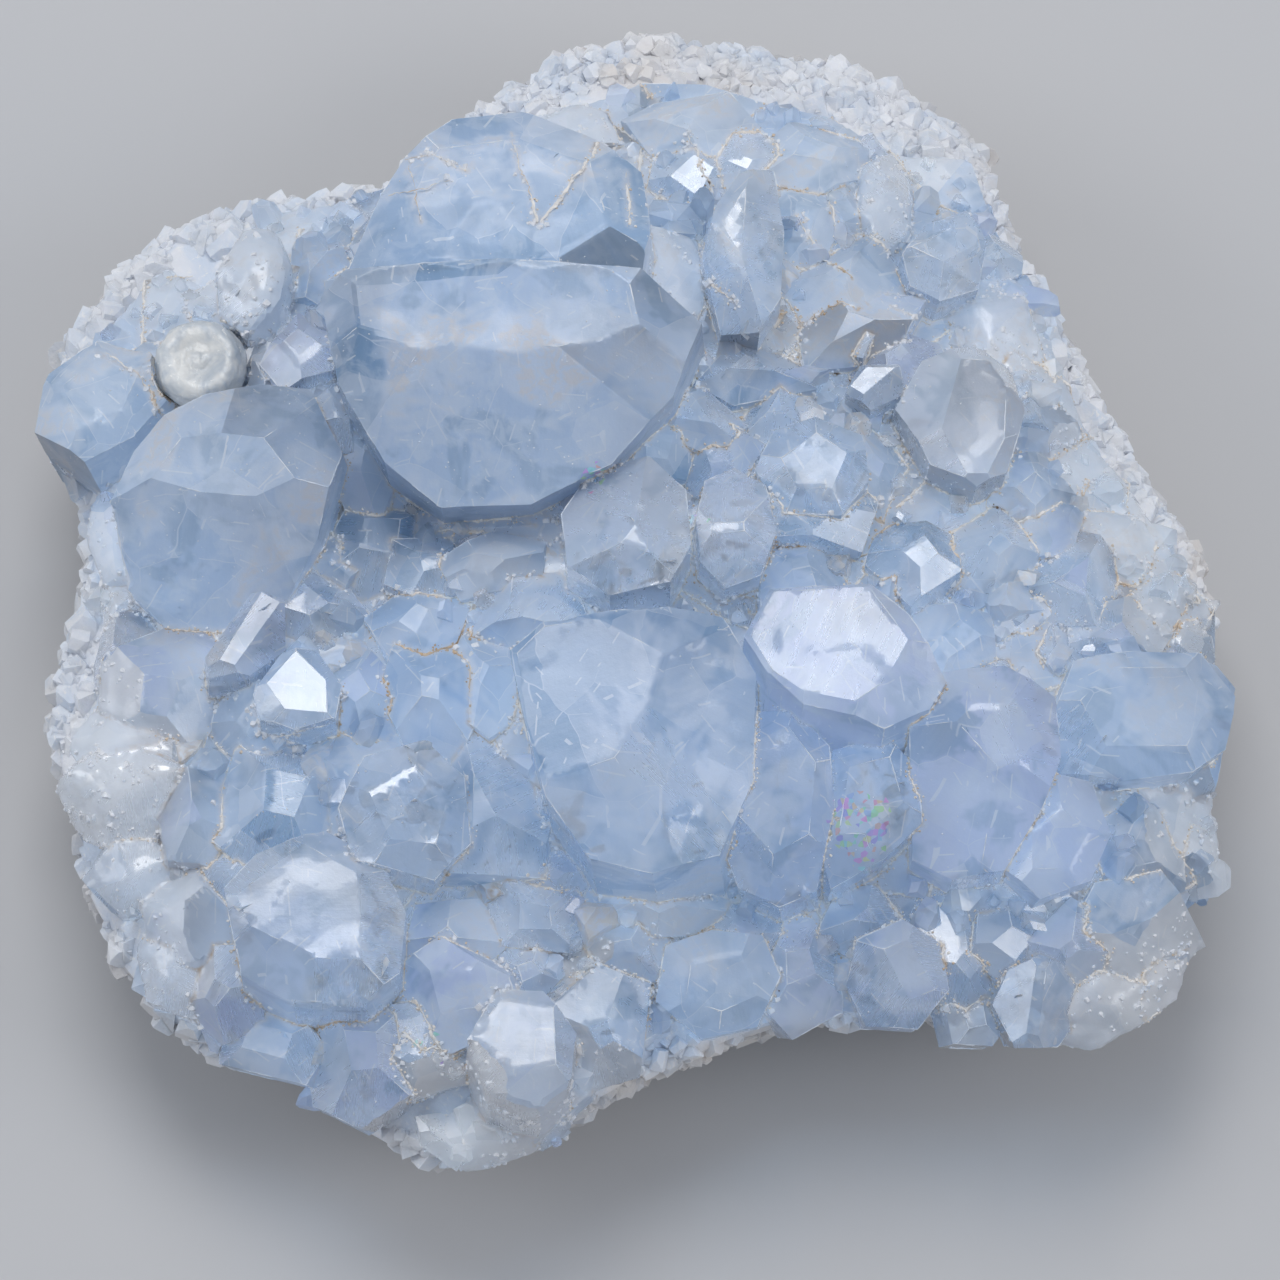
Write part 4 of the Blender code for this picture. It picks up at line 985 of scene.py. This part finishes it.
def scattering_tree():
    tree = bpy.data.node_groups.new("scattering", "GeometryNodeTree")
    given = group_inputs(
        tree, Geometry=("NodeSocketGeometry", None), Shapes=("NodeSocketCollection", None),
        Finish=("NodeSocketMaterial", None), Spacing=("NodeSocketFloat", 0.001), Density=("NodeSocketFloat", 1.0),
        Smallest=("NodeSocketFloat", 0.001), Largest=("NodeSocketFloat", 0.002), Lean=("NodeSocketFloat", 0.5),
        Sink=("NodeSocketFloat", 0.3), Seed=("NodeSocketInt", 1))
    tree.interface.new_socket("Geometry", in_out="OUTPUT", socket_type="NodeSocketGeometry")
    room = add_node(tree, "GeometryNodeInputNamedAttribute", {"Name": "room"}, data_type="FLOAT")
    grow = add_node(tree, "GeometryNodeInputNamedAttribute", {"Name": "grow"}, data_type="FLOAT")
    spots = add_node(tree, "GeometryNodeDistributePointsOnFaces",
                     {"Mesh": given["Geometry"], "Distance Min": given["Spacing"], "Density Max": given["Density"],
                      "Density Factor": room.outputs["Attribute"], "Seed": given["Seed"]},
                     distribute_method="POISSON")

    def lot(low, high, offset, kind="FLOAT"):
        """A random value, different for each point."""
        seed = add_node(tree, "ShaderNodeMath", {0: given["Seed"], 1: float(offset)}, operation="ADD")
        node = add_node(tree, "FunctionNodeRandomValue", {"Seed": seed.outputs[0]}, data_type=kind)
        outputs = [socket for socket in node.outputs if socket.enabled]
        inputs = [socket for socket in node.inputs if socket.enabled and socket.name in ("Min", "Max")]
        for socket, value in zip(inputs, (low, high)):
            if isinstance(value, bpy.types.NodeSocket):
                tree.links.new(value, socket)
            else:
                socket.default_value = value
        return outputs[0]

    share = math_node(tree, "POWER", lot(0.0, 1.0, 1), 1.7)
    size = add_node(tree, "ShaderNodeMapRange", {"Value": share, "To Min": given["Smallest"],
                                                 "To Max": given["Largest"]}).outputs["Result"]
    size = math_node(tree, "MULTIPLY", size, math_node(tree, "ADD", grow.outputs["Attribute"], 1.0))
    depth = math_node(tree, "MULTIPLY", math_node(tree, "MULTIPLY", size, given["Sink"]), -1.0)
    offset = add_node(tree, "ShaderNodeVectorMath", {0: spots.outputs["Normal"], "Scale": depth}, operation="SCALE")
    sunk = add_node(tree, "GeometryNodeSetPosition", {"Geometry": spots.outputs["Points"],
                                                      "Offset": offset.outputs["Vector"]})
    least = add_node(tree, "ShaderNodeCombineXYZ", {"X": math_node(tree, "MULTIPLY", given["Lean"], -1.0),
                                                    "Y": math_node(tree, "MULTIPLY", given["Lean"], -1.0),
                                                    "Z": -math.pi})
    most = add_node(tree, "ShaderNodeCombineXYZ", {"X": given["Lean"], "Y": given["Lean"], "Z": math.pi})
    turn = lot(least.outputs["Vector"], most.outputs["Vector"], 2, "FLOAT_VECTOR")
    leaned = add_node(tree, "FunctionNodeRotateRotation",
                      {"Rotation": spots.outputs["Rotation"],
                       "Rotate By": add_node(tree, "FunctionNodeEulerToRotation", {"Euler": turn}).outputs[0]},
                      rotation_space="LOCAL")
    uneven = lot((0.75, 0.75, 0.8), (1.25, 1.25, 1.25), 3, "FLOAT_VECTOR")
    scale = add_node(tree, "ShaderNodeVectorMath", {0: uneven, "Scale": size}, operation="SCALE")
    shapes = add_node(tree, "GeometryNodeCollectionInfo",
                      {"Collection": given["Shapes"], "Separate Children": True, "Reset Children": True})
    placed = add_node(tree, "GeometryNodeInstanceOnPoints",
                      {"Points": sunk.outputs["Geometry"], "Instance": shapes.outputs["Instances"],
                       "Pick Instance": True, "Instance Index": lot(0, 20, 4, "INT"),
                       "Rotation": leaned.outputs["Rotation"], "Scale": scale.outputs["Vector"]})
    toned = placed.outputs["Instances"]
    for number, name in enumerate(("tone", "gloss")):
        toned = add_node(tree, "GeometryNodeStoreNamedAttribute",
                         {"Geometry": toned, "Name": name, "Value": lot(0.0, 1.0, 5 + number)},
                         data_type="FLOAT", domain="INSTANCE").outputs["Geometry"]
    real = add_node(tree, "GeometryNodeRealizeInstances", {"Geometry": toned})
    finished = add_node(tree, "GeometryNodeSetMaterial", {"Geometry": real.outputs["Geometry"],
                                                          "Material": given["Finish"]})
    add_node(tree, "NodeGroupOutput", {"Geometry": finished.outputs["Geometry"]})
    return tree


scattering = scattering_tree()


def grow_piece(name, surface, tree, slot, **settings):
    """Runs a Geometry Nodes tree on a mesh and keeps the result as a plain mesh piece."""
    piece = add_object(name, surface)
    modifier = piece.modifiers.new(tree.name, "NODES")
    modifier.node_group = tree
    sockets = {item.name: item.identifier for item in tree.interface.items_tree
               if item.item_type == "SOCKET" and item.in_out == "INPUT"}
    for key, value in settings.items():
        modifier[sockets[key.replace("_", " ")]] = value
    bpy.context.view_layer.update()
    seen = piece.evaluated_get(bpy.context.evaluated_depsgraph_get())
    mesh = bpy.data.meshes.new_from_object(seen)
    mesh.name = name
    piece.modifiers.clear()
    piece.data = mesh
    mesh.shade_flat()
    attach(piece, "root")
    print(name, len(mesh.polygons), "faces")
    return piece


def surface_with(mesh, room, grow=None, milk=None):
    """A copy of a mesh whose faces say how much room they give and how large things grow there."""
    copy = mesh.copy()
    values = {"room": [room(face) for face in copy.polygons]}
    values["grow"] = [grow(face) for face in copy.polygons] if grow else [0.0] * len(copy.polygons)
    if milk is not None:
        values["milk"] = [milk] * len(copy.polygons)
    for key, numbers in values.items():
        layer = copy.attributes.get(key) or copy.attributes.new(key, "FLOAT", "FACE")
        layer.data.foreach_set("value", numbers)
    return copy


# %% Grains on the rind
# The grains take the rind's milk value along, so those on faces that look down carry the same painted shade.
rind_room = [value.value for value in rind_piece.data.attributes["room"].data]
rind_surface = surface_with(rind_piece.data, lambda face: rind_room[face.index],
                            lambda face: 0.6 * max(0.0, noise.noise(face.center / (9.0 * MM))))
grain_piece = grow_piece("rind_grains", rind_surface, scattering, "pale_rind", Shapes=grains, Finish=rind_finish,
                    Spacing=0.5 * MM, Density=2500000.0, Smallest=0.35 * MM, Largest=1.9 * MM,
                    Lean=0.9, Sink=0.15, Seed=3)

# %% Small crystals on the crust
crust_facet = [value.value for value in crust_piece.data.attributes["facet"].data]


def druse_room(face):
    facet = facets[crust_facet[face.index]]
    if facet.hidden or facet.area > LARGE_FACE:
        return 0.0
    _, _, _, above_rind = rind_tree.find_nearest(face.center)
    return smooth(3.1 * MM, 2.9 * MM, above_rind) * (1.0 if facet.is_bed else 0.2)


druse_piece = grow_piece("small_crystals", surface_with(crust_piece.data, druse_room), scattering, "blue_celestite",
                    Shapes=points, Finish=celestite, Spacing=1.6 * MM, Density=300000.0,
                    Smallest=1.0 * MM, Largest=2.6 * MM, Lean=0.55, Sink=0.25, Seed=8)

# %% Fractures inside the clear crystals


def veil_material():
    material, surface = material_with("inner_fracture")
    tree = material.node_tree
    body = blend(tree, place_group(tree, milky_clouds, Scale=900.0, Least=0.40, Most=0.60),
                 (0.66, 0.78, 0.92), (0.97, 0.98, 1.0))
    tree.links.new(body, surface.inputs["Base Color"])
    tree.links.new(ramp(tree, attribute(tree, "gloss"), (0.0, 0.05), (1.0, 0.40)), surface.inputs["Roughness"])
    surface.inputs["Transmission Weight"].default_value = 0.5
    return material


def veil_room(face):
    facet = facets[crust_facet[face.index]]
    if facet.hidden or facet.is_bed or facet.gloss < 0.55 or facet.area < 7.0:
        return 0.0
    patch = smooth(-0.2, 0.4, noise.noise(face.center / (3.0 * MM)))
    return patch * smooth(1.2 * MM, 2.2 * MM, valley_distance(face.center))


veil_piece = grow_piece("inner_fractures", surface_with(crust_piece.data, veil_room), scattering, "blue_celestite",
                        Shapes=plates, Finish=veil_material(), Spacing=0.9 * MM, Density=1200000.0,
                        Smallest=0.5 * MM, Largest=2.4 * MM, Lean=1.5, Sink=0.62, Seed=14)

# %% Sugar on the milky crystals and along the valleys


def sugar_room(face):
    facet = facets[crust_facet[face.index]]
    if facet.hidden:
        return 0.0
    patch = smooth(-0.1, 0.3, noise.noise(face.center / (4.0 * MM)))
    by_valley = smooth(0.9 * MM, 0.1 * MM, valley_distance(face.center)) * patch
    on_milk = smooth(0.4, 0.9, facet.milk) * smooth(-0.15, 0.4, noise.noise(face.center / (1.6 * MM)))
    return max(by_valley, 0.6 * on_milk)


sugar_surface = surface_with(crust_piece.data, sugar_room, milk=1.0)
sugar_piece = grow_piece("sugar_grains", sugar_surface, scattering, "pale_rind",
                         Shapes=grains, Finish=rind_finish, Spacing=0.22 * MM, Density=6000000.0,
                         Smallest=0.10 * MM, Largest=0.46 * MM, Lean=1.2, Sink=0.25, Seed=31)


def dust_room(face):
    facet = facets[crust_facet[face.index]]
    if facet.hidden:
        return 0.0
    patch = smooth(-0.35, 0.45, noise.noise(face.center / (2.6 * MM)))
    return (0.15 + 0.8 * facet.dust) * patch**1.5


dust_surface = surface_with(crust_piece.data, dust_room, milk=1.0)
dust_piece = grow_piece("dust_flecks", dust_surface, scattering, "pale_rind",
                        Shapes=crumbs, Finish=rind_finish, Spacing=0.2 * MM, Density=2600000.0,
                        Smallest=0.035 * MM, Largest=0.13 * MM, Lean=1.2, Sink=0.2, Seed=47)

# %% [markdown]
# ## Clay in the valleys
#
# Fine clay settled where crystals meet. It follows the valleys as a thin, uneven thread, cream in most places
# and rusty in some, and crumbs of it lie beside the thread. The threads come from a second Geometry Nodes
# tree: the valleys become curves, the curves get a radius that swells and shrinks by noise, and each is
# filled out to a ragged tube.

# %% Clay material


def clay_material():
    material, surface = material_with("seam_clay")
    tree = material.node_tree
    tone = attribute(tree, "tone")
    rusty = place_group(tree, milky_clouds, Scale=95.0, Least=0.50, Most=0.68)
    pale = ramp(tree, tone, (0.0, (0.88, 0.85, 0.81)), (0.6, (0.82, 0.75, 0.67)), (1.0, (0.68, 0.56, 0.43)))
    body = blend(tree, math_node(tree, "MULTIPLY", rusty, 0.75), pale, (0.55, 0.37, 0.20))
    body = blend(tree, place_group(tree, milky_clouds, Scale=260.0, Least=0.66, Most=0.72), body, (0.16, 0.10, 0.06))
    body = blend(tree, place_group(tree, milky_clouds, Scale=1200.0, Least=0.50, Most=0.7), body, (0.90, 0.87, 0.83))
    tree.links.new(body, surface.inputs["Base Color"])
    tree.links.new(ramp(tree, tone, (0.0, 0.75), (1.0, 0.95)), surface.inputs["Roughness"])
    tree.links.new(place_group(tree, weathering, Scale=5000.0, Depth=0.00005, Amount=0.8),
                   surface.inputs["Normal"])
    return material


clay_finish = clay_material()
print("clay material ready")

# %% Where the clay lies


def clay_share(point):
    """How much clay lies at a place: patches all over, and more towards the upper right."""
    across, up = in_picture(point)
    favoured = 0.35 * smooth(-20.0, 25.0, across) + 0.2 * smooth(-15.0, 20.0, up)
    return smooth(0.0, 0.35, noise.noise(point / (6.5 * MM)) + favoured)


# A crack ends where the picture jumps from one crystal to a lower one behind it
LONGEST_STEP = 1.2 * MM

threads = bmesh.new()
for start, end in valley_edges:
    steps = max(1, round((end - start).length / VALLEY_SPACING))
    line = [threads.verts.new(start.lerp(end, step / steps)) for step in range(steps + 1)]
    for one, other in zip(line, line[1:]):
        if clay_share(one.co) > 0.15:
            threads.edges.new((one, other))
for points_found in crack_lines:
    line = [threads.verts.new(point) for point in points_found]
    for one, other in zip(line, line[1:]):
        if (one.co - other.co).length < LONGEST_STEP:
            threads.edges.new((one, other))
bmesh.ops.remove_doubles(threads, verts=threads.verts, dist=WELD)
bmesh.ops.delete(threads, geom=[vert for vert in threads.verts if not vert.link_edges], context="VERTS")
girth_layer = threads.verts.layers.float.new("girth")
for vert in threads.verts:
    vert[girth_layer] = max(0.3, clay_share(vert.co))
thread_mesh = bpy.data.meshes.new("valley_threads")
threads.to_mesh(thread_mesh)
print("threads:", round(sum(edge.calc_length() for edge in threads.edges) / MM), "mm of valley")

# %% The thread tree


def thread_tree():
    tree = bpy.data.node_groups.new("clay_thread", "GeometryNodeTree")
    given = group_inputs(tree, Geometry=("NodeSocketGeometry", None), Finish=("NodeSocketMaterial", None),
                         Step=("NodeSocketFloat", 0.0004), Girth=("NodeSocketFloat", 0.0003),
                         Raggedness=("NodeSocketFloat", 0.0001), Sides=("NodeSocketInt", 5))
    tree.interface.new_socket("Geometry", in_out="OUTPUT", socket_type="NodeSocketGeometry")
    curve = add_node(tree, "GeometryNodeMeshToCurve", {"Mesh": given["Geometry"]})
    even = add_node(tree, "GeometryNodeResampleCurve", {"Curve": curve.outputs["Curve"], "Length": given["Step"]},
                    mode="LENGTH")
    girth = add_node(tree, "GeometryNodeInputNamedAttribute", {"Name": "girth"}, data_type="FLOAT")
    where = add_node(tree, "GeometryNodeInputPosition").outputs["Position"]
    swell = add_node(tree, "ShaderNodeTexNoise", {"Vector": where, "Scale": 900.0, "Detail": 3.0})
    uneven = math_node(tree, "MULTIPLY", math_node(tree, "MULTIPLY", swell.outputs["Fac"], given["Girth"]), 2.0)
    radius = math_node(tree, "MULTIPLY", uneven, girth.outputs["Attribute"])
    sized = add_node(tree, "GeometryNodeSetCurveRadius", {"Curve": even.outputs["Curve"], "Radius": radius})
    section = add_node(tree, "GeometryNodeCurvePrimitiveCircle", {"Resolution": given["Sides"], "Radius": 1.0})
    tube = add_node(tree, "GeometryNodeCurveToMesh",
                    {"Curve": sized.outputs["Curve"], "Profile Curve": section.outputs["Curve"], "Scale": radius,
                     "Fill Caps": True})
    knobs = add_node(tree, "ShaderNodeTexNoise", {"Vector": where, "Scale": 2600.0, "Detail": 2.0})
    push = add_node(tree, "ShaderNodeVectorMath", {0: knobs.outputs["Color"], 1: (0.5, 0.5, 0.5)},
                    operation="SUBTRACT")
    shift = add_node(tree, "ShaderNodeVectorMath",
                     {0: push.outputs["Vector"], "Scale": math_node(tree, "MULTIPLY", given["Raggedness"], 4.0)},
                     operation="SCALE")
    ragged = add_node(tree, "GeometryNodeSetPosition", {"Geometry": tube.outputs["Mesh"],
                                                        "Offset": shift.outputs["Vector"]})
    real = add_node(tree, "GeometryNodeRealizeInstances", {"Geometry": ragged.outputs["Geometry"]})
    finished = add_node(tree, "GeometryNodeSetMaterial", {"Geometry": real.outputs["Geometry"],
                                                          "Material": given["Finish"]})
    add_node(tree, "NodeGroupOutput", {"Geometry": finished.outputs["Geometry"]})
    return tree


clay_thread = thread_tree()
thread_piece = grow_piece("clay_threads", thread_mesh, clay_thread, "pale_rind", Finish=clay_finish,
                          Step=0.25 * MM, Girth=0.12 * MM, Raggedness=0.14 * MM, Sides=4)

# %% [markdown]
# ## Worn edges and painted edge highlights
#
# Where two faces of a crystal meet, the edge is never quite sharp. Tiny chips along it catch the light, so
# many edges show as a thin pale line that comes and goes. A bevel on 190,000 triangles would be slow and even
# all along, so the same thread tree lays a fine ragged thread on the edges of the large faces. Its pale
# colour is partly the chipped, worn edge and partly a painted highlight that stands in for the light they catch.

# %% Worn edges and painted edge highlights
EDGE_ANGLE = math.radians(13.0)


def edge_material():
    material, surface = material_with("worn_edge")
    tree = material.node_tree
    # Pale blue-white: partly the chipped, worn edge and partly a painted highlight along it.
    body = blend(tree, place_group(tree, milky_clouds, Scale=700.0, Least=0.35, Most=0.65),
                 (0.66, 0.74, 0.85), (0.93, 0.95, 0.98))
    tree.links.new(body, surface.inputs["Base Color"])
    tree.links.new(ramp(tree, place_group(tree, milky_clouds, Scale=1400.0, Least=0.3, Most=0.7),
                        (0.0, 0.12), (1.0, 0.45)), surface.inputs["Roughness"])
    surface.inputs["IOR"].default_value = 1.62
    return material


worn_and_highlight_lines = bmesh.new()
worn_and_highlight_girth = worn_and_highlight_lines.verts.layers.float.new("girth")
for edge in crust.edges:
    if len(edge.link_faces) != 2 or edge.calc_face_angle_signed(0.0) < EDGE_ANGLE:
        continue
    one, other = (facets[face[facet_layer]] for face in edge.link_faces)
    if one is other or one.hidden or other.hidden or max(one.milk, other.milk) > WORN_MILK:
        continue
    wear_and_highlight = smooth(-0.05, 0.45, noise.noise(edge.verts[0].co / (2.6 * MM)))
    if wear_and_highlight > 0.1:
        ends = [worn_and_highlight_lines.verts.new(vert.co) for vert in edge.verts]
        for end in ends:
            end[worn_and_highlight_girth] = smooth(-0.05, 0.45, noise.noise(end.co / (2.6 * MM)))
        worn_and_highlight_lines.edges.new(ends)
bmesh.ops.remove_doubles(worn_and_highlight_lines, verts=worn_and_highlight_lines.verts, dist=WELD)
worn_and_highlight_mesh = bpy.data.meshes.new("worn_and_highlight_lines")
worn_and_highlight_lines.to_mesh(worn_and_highlight_mesh)
edge_piece = grow_piece("worn_edges", worn_and_highlight_mesh, clay_thread, "blue_celestite", Finish=edge_material(),
                        Step=0.35 * MM, Girth=0.045 * MM, Raggedness=0.03 * MM, Sides=4)

# %% Clay crumbs in the valleys


def crumb_room(face):
    if facets[crust_facet[face.index]].hidden:
        return 0.0
    spread = (0.5 + 0.6 * max(0.0, noise.noise(face.center / (3.0 * MM)))) * MM
    return smooth(spread, 0.1 * MM, valley_distance(face.center)) * clay_share(face.center)


crumb_piece = grow_piece("clay_crumbs", surface_with(crust_piece.data, crumb_room), scattering, "pale_rind",
                    Shapes=crumbs, Finish=clay_finish, Spacing=0.20 * MM, Density=14000000.0,
                    Smallest=0.05 * MM, Largest=0.22 * MM, Lean=1.5, Sink=0.0, Seed=21)

# %% [markdown]
# ## The calcite nodule
#
# One small ball of calcite grew on the left edge. It is cream, waxy and a little see-through, with a shallow
# dish on top. The ball starts as an even sphere at the solid's place, and a formula makes the dish and bumps.

# %% Nodule
nodule_low, nodule_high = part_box("calcite_nodule")
nodule_middle = (nodule_low + nodule_high) / 2
nodule_size = (nodule_high - nodule_low) / 2
DISH = Vector((-0.1, 0.0, 1.0)).normalized()

ball = bmesh.new()
bmesh.ops.create_icosphere(ball, subdivisions=6, radius=1.0)
for vert in ball.verts:
    way = vert.co.normalized()
    dish = smooth(0.62, 0.95, way.dot(DISH))
    wave = 0.05 * noise.noise(way * 2.3) + 0.02 * noise.noise(way * 7.0) + 0.008 * noise.noise(way * 26.0)
    radius = 0.97 - 0.30 * dish + wave + 0.06 * smooth(0.3, 0.1, abs(way.dot(DISH) - 0.62))
    vert.co = nodule_middle + Vector(way[i] * radius * nodule_size[i] for i in range(3))
nodule_piece = add_object("calcite_ball", mesh_from(ball, "calcite_ball", 60.0))


def cream_calcite():
    material, surface = material_with("cream_calcite")
    tree = material.node_tree
    body = blend(tree, place_group(tree, milky_clouds, Scale=350.0, Least=0.35, Most=0.65),
                 (0.54, 0.59, 0.64), (0.79, 0.79, 0.77))
    body = blend(tree, place_group(tree, milky_clouds, Scale=1600.0, Least=0.6, Most=0.7), body, (0.92, 0.92, 0.90))
    tree.links.new(body, surface.inputs["Base Color"])
    tree.links.new(ramp(tree, place_group(tree, milky_clouds, Scale=900.0, Least=0.3, Most=0.7),
                        (0.0, 0.30), (1.0, 0.55)), surface.inputs["Roughness"])
    surface.inputs["Subsurface Weight"].default_value = 0.6
    surface.inputs["Subsurface Radius"].default_value = (1.0, 0.95, 0.9)
    surface.inputs["Subsurface Scale"].default_value = 0.0014
    surface.inputs["Coat Weight"].default_value = 0.4
    surface.inputs["Coat Roughness"].default_value = 0.2
    surface.inputs["IOR"].default_value = 1.6
    tree.links.new(place_group(tree, weathering, Scale=2200.0, Depth=0.00008, Amount=0.7),
                   surface.inputs["Normal"])
    return material


nodule_piece.data.materials.append(cream_calcite())
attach(nodule_piece, "root")
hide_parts("calcite_nodule")
print("nodule:", len(nodule_piece.data.polygons), "triangles")

# %% [markdown]
# ## Nothing below the table
#
# The cluster lies on one flat spot. Grains that stick out near it are pressed flat, and the size of the whole
# is printed beside that of the solids.

# %% Print the size
for piece in (rind_piece, grain_piece, druse_piece, crumb_piece, sugar_piece, dust_piece):
    for vert in piece.data.vertices:
        vert.co.z = max(vert.co.z, 0.02 * MM)
whole_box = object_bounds()
for label, box in (("solids", cad_box), ("dressed", whole_box)):
    print(label, [round(v / MM, 1) for v in box[0]], [round(v / MM, 1) for v in box[1]])
